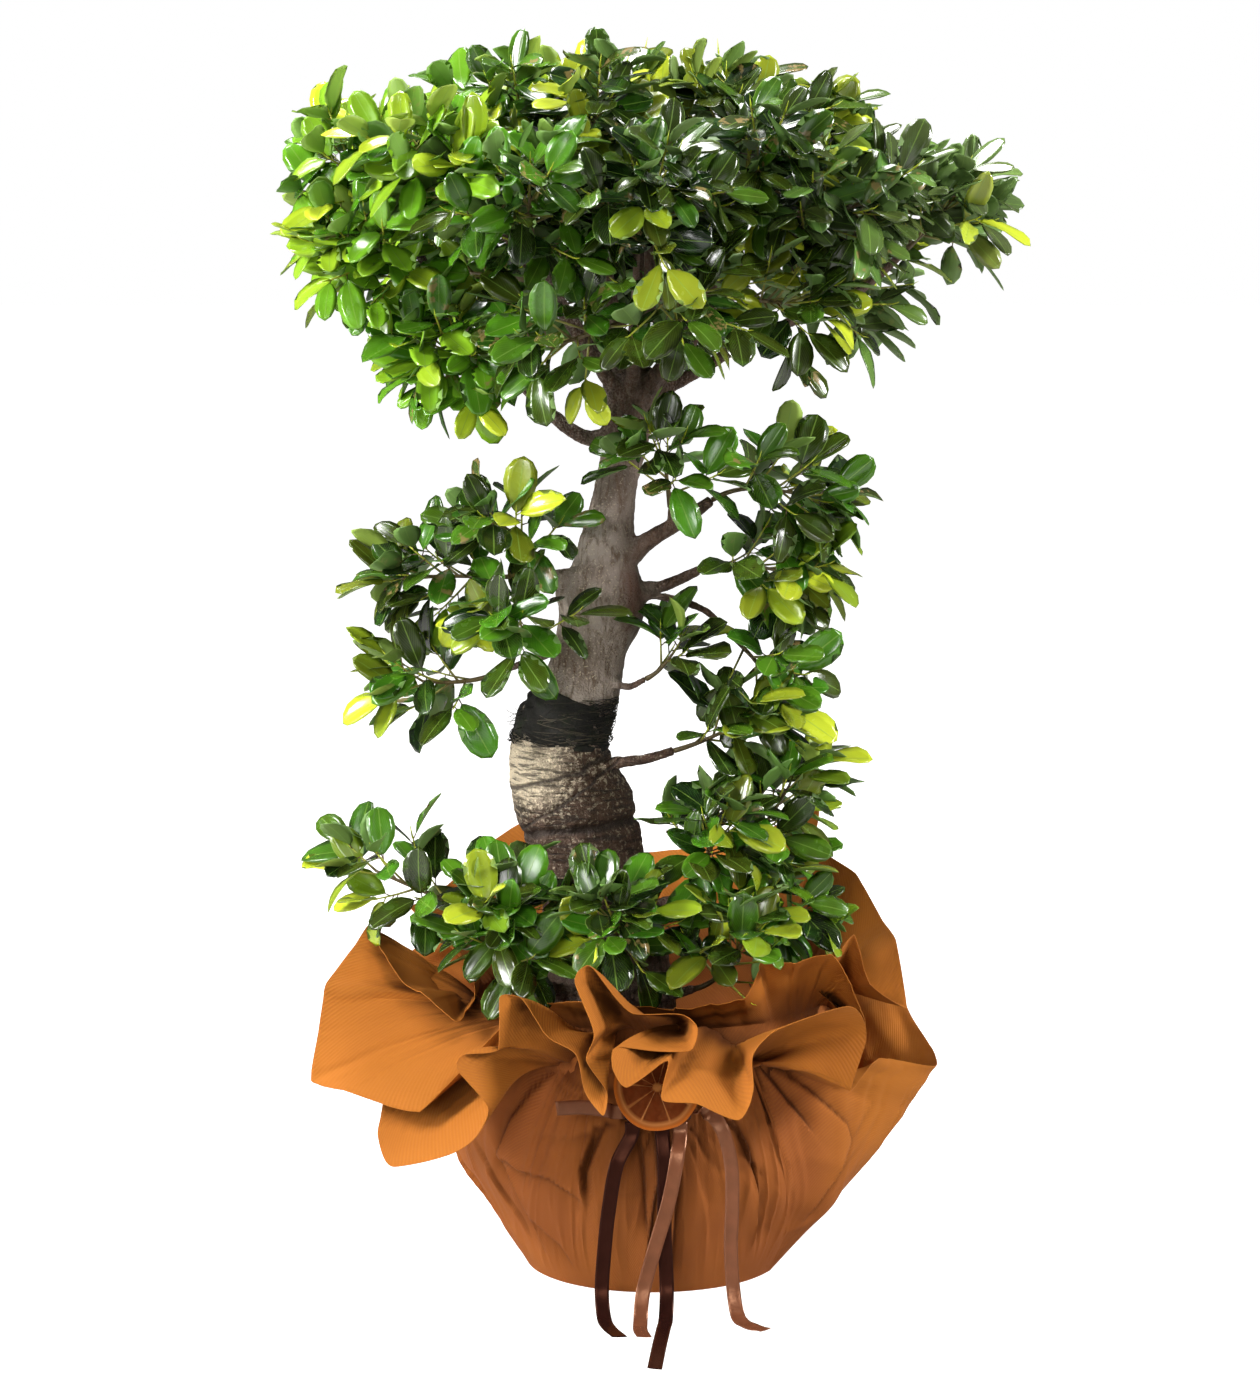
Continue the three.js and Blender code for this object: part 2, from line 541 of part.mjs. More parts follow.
// The neck is level above the knot and hangs lower at both sides of it
function neckHeight(angle) {
  const away = Math.abs(NECK.radius * Math.cos(radians(angle)) - NECK.middle);
  return NECK.height - NECK.drop * THREE.MathUtils.smoothstep(away, NECK.level, NECK.sides);
}

const ruffleColumns = RUFFLE.map((edge, i) => {
  const angle = lerp(...RUFFLE_NECK, i / (RUFFLE.length - 1));
  return wrapColumn([angle, NECK.radius, neckHeight(angle)], edge);
});
const sideColumns = WRAP_SIDES.map(({ neck, edge }) => wrapColumn(neck, edge));
const wrapOuter = sheetSolid([...ruffleColumns, ...sideColumns], vec(0, 0, 0));
place("wrap_outer", wrapOuter, COLOURS.wrap, 0.85);
stand(solidOf(wrapOuter.clone()), "wrap_outer");

// Inner sheet: the angle of each column at its neck and the place of its edge, from the left lobe backwards
const LINING = [
  [-128, -194, -165, 170], [-135, -259, -120, 177], [-142, -290, -95, 180], [-147, -285, -75, 217],
  [-152, -279, -60, 256], [-157, -256, -45, 286], [-162, -244, -40, 304], [-166, -232, -70, 292],
  [-170, -211, -100, 268], [-174, -186, -125, 256], [-178, -164, -138, 244], [-183, -152, -110, 254],
  [-189, -160, -40, 272], [-195, -213, 30, 304], [-202, -198, 60, 307], [-210, -175, 88, 322],
  [-220, -146, 115, 348], [-232, -115, 145, 363], [-247, -74, 172, 334], [-268, -1, 186, 328],
  [-291, 81, 162, 342], [-316, 150, 125, 380], [-326, 148, 112, 346], [-334, 181, 75, 328],
  [-341, 203, 50, 291], [-348, 214, 25, 277], [-355, 221, -10, 222], [-361, 185, -50, 251],
  [-367, 170, -80, 303], [-373, 140, -92, 260], [-379, 177, -112, 232], [-385, 161, -130, 275],
  [-391, 147, -140, 298], [-398, 118, -150, 292], [-407, 91, -160, 296], [-417, 75, -167, 266],
  [-440, 18, -172, 257], [-462, -34, -171, 261], [-474, -74, -160, 262], [-482, -112, -150, 252],
];
const LINING_FOOT = { radius: 103.5, height: SHEET + GAP };
const LINING_SIDE = { radius: 155, height: potTop - 4 };
const liningColumns = LINING.map(([angle, ...edge]) => [
  around(angle, LINING_FOOT.radius, LINING_FOOT.height),
  around(angle, LINING_SIDE.radius, LINING_SIDE.height),
  around(angle, LINING_NECK.radius, LINING_NECK.height),
  vec(...edge),
]);
const wrapInner = sheetSolid(liningColumns, vec(0, 0, LINING_FOOT.height));
place("wrap_inner", wrapInner, COLOURS.lining, 0.85);
stand(solidOf(wrapInner.clone()), "wrap_inner");

// Ribbons: a wound knot at the front of the neck, and flat satin ends that hang from it to the floor
const KNOT = { x: 3, y: -170.9, z: 172, long: 56, radius: 8, sides: 12 };
const knot = new THREE.CylinderGeometry(KNOT.radius, KNOT.radius, KNOT.long, KNOT.sides);
knot.rotateZ(Math.PI / 2).translate(KNOT.x, KNOT.y, KNOT.z);
place("ribbon_knot", knot, COLOURS.darkSatin, 0.4);

const FLOOR = RIBBON.thick / 2 + 0.2;
const UNDER_KNOT = KNOT.z - KNOT.radius - GAP;
const BESIDE_KNOT = { left: KNOT.x - KNOT.long / 2 - GAP, right: KNOT.x + KNOT.long / 2 + GAP };
const RIBBONS = {
  ribbon_dark_left: {
    colour: COLOURS.darkSatin, side: [1, 0, 0],
    line: [
      [-18, KNOT.y, UNDER_KNOT], [-18, KNOT.y, UNDER_KNOT - 10], [-30, -177, 130], [-37, -178, 92],
      [-41, -178, 54], [-43, -180, 20], [-41, -193, 2.6], [-37, -213, FLOOR + 0.1], [-28, -238, FLOOR],
    ],
  },
  ribbon_dark_middle: {
    colour: COLOURS.darkSatin, side: [1, 0, 0],
    line: [
      [7, KNOT.y, UNDER_KNOT], [7, KNOT.y, UNDER_KNOT - 9], [9, -176, 130], [9, -177, 72], [11, -179, 22],
      [10, -194, 2], [8, -215, FLOOR], [4, -265, FLOOR], [0, -322, FLOOR],
    ],
  },
  ribbon_tan_middle: {
    colour: COLOURS.tanSatin, side: [1, 0, 0],
    line: [
      [22, KNOT.y, UNDER_KNOT], [22, KNOT.y - 1, UNDER_KNOT - 9], [20, -182, 140], [13, -186, 102],
      [0, -188, 57], [-9, -190, 22], [-11, -203, 2], [-11, -220, FLOOR], [-8, -238, FLOOR],
    ],
  },
  ribbon_tan_right: {
    colour: COLOURS.tanSatin, side: [1, -0.3, 0],
    line: [
      [BESIDE_KNOT.right, KNOT.y, KNOT.z], [BESIDE_KNOT.right + 8, KNOT.y, KNOT.z],
      [48, -174, 170], [57, -180, 158], [64, -182, 130], [65, -182, 95], [64, -182, 60], [66, -185, 26],
      [69, -193, 7], [72, -202, FLOOR + 2.4], [78, -210, FLOOR + 1.1], [84, -215, FLOOR + 0.5],
      [92, -220, FLOOR + 0.4],
    ],
  },
  ribbon_tan_stub: {
    colour: COLOURS.tanSatin, side: [0, 0, 1],
    line: [
      [BESIDE_KNOT.left, KNOT.y, KNOT.z], [BESIDE_KNOT.left - 8, KNOT.y, KNOT.z],
      [-38, -178, 175], [-58, -188, 180], [-80, -200, 182],
    ],
  },
};
const RIBBON_STEPS = 11;
for (const [name, { colour, side, line }] of Object.entries(RIBBONS)) {
  const curve = new THREE.CatmullRomCurve3(line.map((point) => vec(...point)));
  const strip = new THREE.BoxGeometry(1, 1, 1, 1, RIBBON_STEPS, 1);
  place(name, sweep(strip, curve, vec(...side), () => [RIBBON.width, RIBBON.thick]), colour, 0.35);
}

// Orange slice: a dried round of fruit that leans on the knot
const slice = new THREE.CylinderGeometry(SLICE.radius, SLICE.radius, SLICE.thick, SLICE.sides);
slice.rotateX(-radians(SLICE.tilt)).translate(...SLICE.place);
place("orange_slice", slice, COLOURS.orange, 0.6);

// Leafy sprays: the wood first, and then on each shoot the leaves that come clear of all the rest
const SHOOT_STEP = 4;
const LEAF_CHOICE = [5, 2, 4, 1, 3, 0];
const LEAVES_KEPT = 2;
const plans = Object.entries(SPRAYS).map(([name, spray]) => ({ name, ...sprayPlan(spray) }));
for (const plan of plans) {
  plan.parts = [solidOf(twig(plan.stem, TWIG.stem, TWIG.tip, 3, 2))];
  stand(plan.parts[0], plan.name, "stem");
}
for (const plan of plans) {
  plan.kept = plan.shoots.filter((shoot, k) => (plan.shoots.length - 1 - k) % SHOOT_STEP === 0);
  plan.kept = plan.kept.filter((shoot) => {
    const end = shoot.from.clone().addScaledVector(shoot.direction, shoot.length);
    const wood = solidOf(twig(new THREE.LineCurve3(shoot.from, end), TWIG.shoot, TWIG.shoot, 3, 1));
    if (!isClear(wood, ({ owner }) => owner === plan.name)) return false;
    plan.parts.push(wood);
    stand(wood, plan.name, shoot);
    return true;
  });
}
for (const plan of plans) {
  for (const [i, shoot] of plan.kept.entries()) {
    let wanted = i === 1 && plan.kept.length > 2 ? 1 : LEAVES_KEPT;
    for (const j of LEAF_CHOICE) {
      if (wanted === 0 || !isClear(blade(shoot.leaves[j], CLEARANCE), ({ part }) => part === shoot)) continue;
      const leaf = blade(shoot.leaves[j]);
      plan.parts.push(leaf);
      stand(leaf, plan.name, "leaf");
      wanted -= 1;
    }
  }
}
for (const { name, parts } of plans) {
  place(name, geometryOf(joined(parts)), COLOURS.leaf, 0.35);
}

export default tree;
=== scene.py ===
# The looks of a ficus bonsai in a gathered cloth wrap: bark, leaves, cloth, satin ribbon and dried orange.
import math
from functools import partial

import bpy
import numpy as np
from bpy.props import FloatProperty, FloatVectorProperty, PointerProperty
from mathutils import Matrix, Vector, noise
from mathutils.bvhtree import BVHTree


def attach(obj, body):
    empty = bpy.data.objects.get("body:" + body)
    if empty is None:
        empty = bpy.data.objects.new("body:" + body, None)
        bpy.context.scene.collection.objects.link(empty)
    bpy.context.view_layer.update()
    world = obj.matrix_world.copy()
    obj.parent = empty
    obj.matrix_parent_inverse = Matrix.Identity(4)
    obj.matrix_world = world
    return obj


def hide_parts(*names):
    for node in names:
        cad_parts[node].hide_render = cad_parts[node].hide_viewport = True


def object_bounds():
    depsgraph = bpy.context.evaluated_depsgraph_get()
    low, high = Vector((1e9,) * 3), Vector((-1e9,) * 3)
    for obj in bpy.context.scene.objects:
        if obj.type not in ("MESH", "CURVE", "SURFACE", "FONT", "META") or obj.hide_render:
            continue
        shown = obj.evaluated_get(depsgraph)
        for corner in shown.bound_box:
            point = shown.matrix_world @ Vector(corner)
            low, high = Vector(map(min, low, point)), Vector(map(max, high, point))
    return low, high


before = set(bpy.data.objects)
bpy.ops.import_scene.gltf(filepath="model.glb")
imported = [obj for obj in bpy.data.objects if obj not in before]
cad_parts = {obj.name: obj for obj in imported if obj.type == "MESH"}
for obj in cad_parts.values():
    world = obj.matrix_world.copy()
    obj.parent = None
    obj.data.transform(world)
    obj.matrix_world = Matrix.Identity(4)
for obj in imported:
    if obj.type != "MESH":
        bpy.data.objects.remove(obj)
CAD_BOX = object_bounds()
MM = 0.001

bl_info = {
    "name": "Ficus bonsai",
    "version": (1, 0, 0),
    "blender": (4, 5, 0),
    "location": "3D View > Sidebar > Ficus",
    "description": "Dresses the frame of a wrapped ficus bonsai with bark, leaves, cloth and ribbon",
    "category": "Object",
}


# Colours are sRGB hex values, turned to linear here
def rgb(code):
    parts = [int(code[i:i + 2], 16) / 255 for i in (1, 3, 5)]
    linear = [c / 12.92 if c <= 0.04045 else ((c + 0.055) / 1.055) ** 2.4 for c in parts]
    return (*linear, 1.0)


def colour_property(name, description, code):
    return FloatVectorProperty(
        name=name, description=description, subtype="COLOR", size=4, min=0, max=1, default=rgb(code),
    )


def length_property(name, description, default):
    return FloatProperty(name=name, description=description, default=default, min=0, unit="LENGTH")


class FoliageSettings(bpy.types.PropertyGroup):
    leaf_length: length_property("Leaf length", "Length of a middling leaf with its stalk", 0.047)
    leaf_width: FloatProperty(name="Leaf width", description="Width as a share of length", default=0.55)
    leaf_thickness: length_property("Leaf thickness", "Thickness along the midrib", 0.0007)
    stem_radius: length_property("Stem radius", "Radius of a spray's stem where it leaves the wood", 0.0025)
    shoot_radius: length_property("Shoot radius", "Radius of a side shoot at its start", 0.0012)
    deep: colour_property("Deep green", "Oldest, shaded leaves", "#081d05")
    fresh: colour_property("Fresh green", "Full-grown leaves in the light", "#55a01c")
    # Young green also paints the crown's left as lit through from behind
    young: colour_property("Young green", "Leaves that have just opened", "#c3d030")
    under: colour_property("Underside", "Pale lower side of a leaf", "#6f8f4a")
    rib: colour_property("Midrib", "Midrib and thin rim of a leaf", "#7fa044")
    scorch: colour_property("Scorch", "Dry patches on old leaves", "#8a7448")
    # Painted grey sheen of reflected light on the right, far side of the crown
    painted_sheen_green: colour_property("Dusty green", "Old, dull leaves on the far side of the crown", "#77875a")
    twig: colour_property("Twig", "Bark of the thin stems", "#5a4130")


class TrunkSettings(bpy.types.PropertyGroup):
    voxel: length_property("Grain of the mesh", "Size of the cells that the trunk is fused with", 0.0022)
    relief: length_property("Relief", "Depth of the furrows in the bark", 0.0009)
    pale: colour_property("Pale bark", "Smooth grey-tan bark of the upper trunk", "#b6a79b")
    brown: colour_property("Brown bark", "Streaks and shaded bark", "#5d4938")
    dark: colour_property("Dark bark", "Cracks, twigs and the rough crown", "#35261c")
    # Cream is also the painted highlight on the knee's left
    cream: colour_property("Cream bark", "Stretched skin of the swollen knee", "#e8d6b8")


class WrapSettings(bpy.types.PropertyGroup):
    thickness: length_property("Cloth thickness", "Thickness of the non-woven cloth", 0.0005)
    rib: length_property("Rib spacing", "Distance between the embossed diagonal ribs", 0.0026)
    # The warm colour is the single cloth painted as lit through from behind; the deeper one is painted shade on the
    # body over the pot
    warm: colour_property("Cloth", "Single cloth, with light behind it", "#a46326")
    deep: colour_property("Cloth in the folds", "Cloth over the pot and in the folds", "#8a4e29")
    # Colour of the painted shade in creases, at the gathered neck, round the knot and deep in the ruffle's folds
    pinched: colour_property("Cloth in the gather", "Cloth pinched together at the tie", "#2b1206")


class RibbonSettings(bpy.types.PropertyGroup):
    width: length_property("Ribbon width", "Width of the satin ribbon", 0.012)
    thickness: length_property("Ribbon thickness", "Thickness of the satin ribbon", 0.0005)
    dark: colour_property("Dark satin", "Dark-brown ribbon", "#26110d")
    tan: colour_property("Tan satin", "Rose-tan ribbon", "#6c402b")


class SliceSettings(bpy.types.PropertyGroup):
    radius: length_property("Slice radius", "Radius of the dried orange slice", 0.036)
    thickness: length_property("Slice thickness", "Thickness at the rind", 0.0045)
    rind: colour_property("Rind", "Dried peel", "#8a4716")
    flesh: colour_property("Flesh", "Dried, glassy segments", "#54220b")
    pith: colour_property("Pith", "Dried pith and membranes", "#85532a")


class StageSettings(bpy.types.PropertyGroup):
    floor: colour_property("Floor", "Plain pale floor", "#b3b1ae")
    lens: FloatProperty(name="Lens", description="Focal length of the camera", default=97.25, unit="CAMERA")
    distance: length_property("Distance", "From the camera to the middle of the foot", 3.2)
    height: length_property("Height", "Height of the camera above the floor", 0.92)


# Curves, the same as those that the frame was drawn with
def vec(*numbers):
    return np.array(numbers, float)


def unit(vector):
    return vector / np.linalg.norm(vector)


def mix(a, b, share):
    return a + (b - a) * share


def clamp(value, low=0.0, high=1.0):
    return min(max(value, low), high)


class Path:
    """A line through space that is read by share of its length."""
    divisions = 200

    def measure(self):
        self.times = np.linspace(0, 1, self.divisions + 1)
        spots = np.array([self.at(time) for time in self.times])
        steps = np.linalg.norm(np.diff(spots, axis=0), axis=1)
        lengths = np.concatenate([[0], np.cumsum(steps)])
        self.length = lengths[-1]
        self.shares = lengths / self.length

    def time(self, share):
        return np.interp(share, self.shares, self.times)

    def point(self, share):
        return self.at(self.time(share))

    def tangent(self, share):
        time = self.time(share)
        return unit(self.at(min(time + 1e-4, 1)) - self.at(max(time - 1e-4, 0)))


class Line(Path):
    """A centripetal Catmull-Rom line through its points."""

    def __init__(self, points):
        inner = [vec(*point) for point in points]
        before = 2 * inner[0] - inner[1]
        after = 2 * inner[-1] - inner[-2]
        self.points = [before, *inner, after]
        self.measure()

    def at(self, time):
        spans = len(self.points) - 3
        i = min(int(spans * time), spans - 1)
        weight = spans * time - i
        a, b, c, d = self.points[i:i + 4]
        gaps = [np.dot(q - p, q - p) ** 0.25 for p, q in ((a, b), (b, c), (c, d))]
        middle = gaps[1] if gaps[1] > 1e-4 else 1.0
        first = gaps[0] if gaps[0] > 1e-4 else middle
        last = gaps[2] if gaps[2] > 1e-4 else middle
        leave = ((b - a) / first - (c - a) / (first + middle) + (c - b) / middle) * middle
        reach = ((c - b) / middle - (d - b) / (middle + last) + (d - c) / last) * middle
        square = -3 * b + 3 * c - 2 * leave - reach
        cube = 2 * b - 2 * c + leave + reach
        return b + weight * (leave + weight * (square + weight * cube))


class Bow(Path):
    """A quadratic bow from one point to another, drawn towards a third."""

    def __init__(self, start, pull, end):
        self.ends = start, pull, end
        self.measure()

    def at(self, time):
        start, pull, end = self.ends
        return (1 - time) ** 2 * start + 2 * (1 - time) * time * pull + time ** 2 * end


def dice(seed):
    """The same dice in every run: a Park-Miller sequence."""
    state = seed

    def roll():
        nonlocal state
        state = state * 16807 % 2147483647
        return state / 2147483647

    return roll


def sideways(direction):
    return vec(1, 0, 0) if abs(direction[0]) < 0.7 else vec(0, 1, 0)


def leaning(along, angle, turn):
    """A direction that leaves along by an angle, turned round it."""
    side = sideways(along)
    across = unit(side - along * np.dot(along, side))
    over = np.cross(along, across)
    outward = across * math.cos(turn) + over * math.sin(turn)
    return along * math.cos(angle) + outward * math.sin(angle)


def turned(a, b, angle):
    """Two coordinates, turned by an angle in their own plane."""
    return a * math.cos(angle) - b * math.sin(angle), a * math.sin(angle) + b * math.cos(angle)


def noise_at(*place):
    return noise.noise(Vector(place))


def net(rows, across):
    """Faces between rows of points, where each row closes round and is so many points across."""
    return [
        [low + a, low + across + a, low + across + (a + 1) % across, low + (a + 1) % across]
        for low in range(0, (rows - 1) * across, across) for a in range(across)
    ]


def write(mesh, name, values):
    """Gives each point a number, which the materials read by its name."""
    mesh.attributes.new(name, "FLOAT", "POINT").data.foreach_set("value", values.astype(np.float32))


def read(mesh, kind):
    """The places or the normals of all points."""
    numbers = np.empty(len(mesh.vertices) * 3)
    mesh.vertices.foreach_get(kind, numbers)
    return numbers.reshape(-1, 3)


def dress(mesh, material):
    mesh.materials.clear()
    mesh.materials.append(material)


def tree_of(pieces):
    """One search tree for the surfaces of several pieces."""
    points, faces = [], []
    for piece in pieces:
        start = len(points)
        points += [vertex.co.copy() for vertex in piece.data.vertices]
        faces += [[start + i for i in polygon.vertices] for polygon in piece.data.polygons]
    return BVHTree.FromPolygons(points, faces)


class Heap:
    """Points and faces of one piece as it grows, with what its materials read. Millimetres."""

    def __init__(self, *numbers):
        self.points = []
        self.faces = []
        self.kinds = []
        self.uvs = []
        self.numbers = {name: [] for name in numbers}
        self.count = 0

    def add(self, points, faces, kind=0, uv=None, **numbers):
        self.points.append(points)
        self.faces += [[i + self.count for i in face] for face in faces]
        self.kinds += kind if isinstance(kind, list) else [kind] * len(faces)
        self.uvs.append(np.zeros((len(points), 2)) if uv is None else uv)
        for name, values in self.numbers.items():
            values.append(np.broadcast_to(numbers.get(name, 0.0), len(points)))
        self.count += len(points)

    def piece(self, name, *materials):
        mesh = bpy.data.meshes.new(name)
        mesh.from_pydata(np.concatenate(self.points) * MM, [], self.faces)
        uvs = np.concatenate(self.uvs)
        corners = np.empty(len(mesh.loops), int)
        mesh.loops.foreach_get("vertex_index", corners)
        layer = mesh.uv_layers.new(name="UVMap")
        layer.uv.foreach_set("vector", uvs[corners].ravel())
        for label, values in self.numbers.items():
            write(mesh, label, np.concatenate(values))
        for material in materials:
            mesh.materials.append(material)
        mesh.polygons.foreach_set("material_index", self.kinds)
        mesh.polygons.foreach_set("use_smooth", [True] * len(mesh.polygons))
        mesh.update()
        piece = bpy.data.objects.new(name, mesh)
        bpy.context.collection.objects.link(piece)
        return piece


def tube(line, radius, sides, steps, side=None):
    """Points and faces of a closed tube; radius gives its half width and half depth at a share of the line."""
    side = sideways(unit(line.point(1) - line.point(0))) if side is None else side
    angles = 2 * math.pi * np.arange(sides) / sides
    rings = []
    for share in np.linspace(0, 1, steps + 1):
        along = line.tangent(share)
        across = unit(side - along * np.dot(along, side))
        up = np.cross(across, along)
        wide, deep = radius(share, angles)
        ring = np.outer(np.cos(angles) * wide, across) + np.outer(np.sin(angles) * deep, up)
        rings.append(line.point(share) + ring)
    faces = net(steps + 1, sides)
    faces.append(list(range(sides)))
    faces.append([steps * sides + a for a in reversed(range(sides))])
    return np.concatenate(rings), faces


def tapering(start, end):
    return lambda share, angles: (mix(start, end, share),) * 2


def only(piece):
    """Selects one piece and makes it the active one."""
    bpy.ops.object.select_all(action="DESELECT")
    piece.select_set(True)
    bpy.context.view_layer.objects.active = piece


def modify(piece, kind, **settings):
    """Adds one modifier with its settings and applies it."""
    only(piece)
    modifier = piece.modifiers.new(kind.title(), kind)
    for name, value in settings.items():
        setattr(modifier, name, value)
    bpy.ops.object.modifier_apply(modifier=modifier.name)


def seat(piece, slot, node):
    """Rides a finished piece on the one body, in place of its CAD node."""
    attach(piece, "root")
    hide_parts(node)


# Materials
def add_node(tree, kind, inputs=(), out=0, **settings):
    """Adds one node and gives the output that is asked for, or with a slice its first ones as a list.

    An input takes a number, a colour or another node's output.
    """
    node = tree.nodes.new("ShaderNode" + kind)
    for name, value in settings.items():
        setattr(node, name, value)
    for name, value in inputs.items() if isinstance(inputs, dict) else enumerate(inputs):
        if isinstance(value, bpy.types.NodeSocket):
            tree.links.new(value, node.inputs[name])
        else:
            node.inputs[name].default_value = value
    return node.outputs[out]


def begin(name):
    """A new material with an empty tree, and the node helper for that tree."""
    material = bpy.data.materials.new(name)
    material.use_nodes = True
    material.node_tree.nodes.clear()
    return material, partial(add_node, material.node_tree)


def close(material, shader):
    end = material.node_tree.nodes.new("ShaderNodeOutputMaterial")
    material.node_tree.links.new(shader, end.inputs["Surface"])
    return material


def darker(colour, share):
    return [share * part for part in colour[:3]] + [1]


# What a Mix node needs to mix colours: its kind of data, and the output that carries them
COLOURS = {"out": 2, "data_type": "RGBA"}


def leaf_material(settings, underside):
    """Waxed ficus leaf. The cuticle gives a hard, narrow gloss above and is dull and pale below."""
    material, add = begin("leaf underside, dull" if underside else "leaf, waxed cuticle")
    place = add("TexCoord", out="Object")
    across, along = add("SeparateXYZ", (add("UVMap", uv_map="UVMap"),), slice(2))
    tone, youth, scorch, dull = [
        add("Attribute", out="Fac", attribute_name=name) for name in ("tone", "youth", "scorch", "dull")
    ]
    cloud = add("TexNoise", {"Vector": place, "Scale": 60, "Detail": 3})
    # The tone mixes deep and fresh green; besides a random part it carries painted light and shade by the leaf's
    # place in the crown
    shaded = add("Math", (cloud, -0.5), operation="ADD")
    green = add("Math", (shaded, 0.5, tone), operation="MULTIPLY_ADD")
    green = add("Mix", {0: green, 6: settings.deep, 7: settings.fresh}, **COLOURS)
    # The grey-green is a painted sheen of reflected light, and young green is partly painted backlight
    for share, colour in ((dull, settings.painted_sheen_green), (youth, settings.young)):
        green = add("Mix", {0: share, 6: green, 7: colour}, **COLOURS)

    # Midrib: a pale line along the middle, narrowing to the tip. The rim is a thin pale line too
    off = add("Math", (across, 0.5), operation="SUBTRACT")
    off = add("Math", (off,), operation="ABSOLUTE")
    rib = add("MapRange", (off, 0.008, 0.03, 0.5, 0))
    rim = add("MapRange", (off, 0.465, 0.495, 0, 0.5))
    lines = add("Math", (rib, rim), operation="MAXIMUM")
    # Side veins leave the midrib about every 4 mm and lean towards the tip
    slant = add("Math", (off, -1.1, along), operation="MULTIPLY_ADD")
    waves = add("Math", (slant, 75), operation="MULTIPLY")
    waves = add("Math", (waves,), operation="SINE")
    veins = add("MapRange", (waves, 0.6, 1, 0, 0.1))
    pale = add("Math", (lines, veins), operation="MAXIMUM")

    patch = add("TexNoise", {"Vector": place, "Scale": 110, "Detail": 4})
    patch = add("MapRange", (patch, 0.56, 0.62, 0, 1))
    patch = add("Math", (patch, scorch), operation="MULTIPLY")
    tints = [(pale, settings.rib), (patch, settings.scorch)]
    if underside:
        tints.append((0.6, settings.under))
    for share, colour in tints:
        green = add("Mix", {0: share, 6: green, 7: colour}, **COLOURS)
    height = add("Math", (cloud, 0.6, pale), operation="MULTIPLY_ADD")
    bump = add("Bump", {"Height": height, "Strength": 0.25, "Distance": 0.0006})
    dullest = (0.5, 0.65) if underside else (0.15, 0.3)
    rough = add("MapRange", (cloud, 0.3, 0.7, *dullest))
    return close(material, add("BsdfPrincipled", {
        "Base Color": green, "Roughness": rough, "IOR": 1.45, "Normal": bump,
        "Coat Weight": 0 if underside else 0.25, "Coat Roughness": 0.12,
    }))


def twig_material(settings):
    """Young ficus bark, smooth and slightly shiny, brown where it has set and green at the tips."""
    material, add = begin("twig, smooth bark")
    place = add("TexCoord", out="Object")
    youth = add("Attribute", out="Fac", attribute_name="youth")
    speck = add("TexNoise", {"Vector": place, "Scale": 420, "Detail": 3})
    bark = add("Mix", {0: speck, 6: darker(settings.twig, 0.45), 7: settings.twig}, **COLOURS)
    tint = add("Mix", {0: youth, 6: bark, 7: settings.young}, **COLOURS)
    bump = add("Bump", {"Height": speck, "Strength": 0.4, "Distance": 0.0004})
    return close(material, add("BsdfPrincipled", {"Base Color": tint, "Roughness": 0.5, "Normal": bump}))


# Two long slanting furrows cross the front of the knee, and a dark ring goes round below them: height at the
# middle, slope and width, in metres
KNEE_LINES = [(0.4612, 0.353, 0.003), (0.4669, 0.732, 0.0022), (0.3932, 0.12, 0.006)]


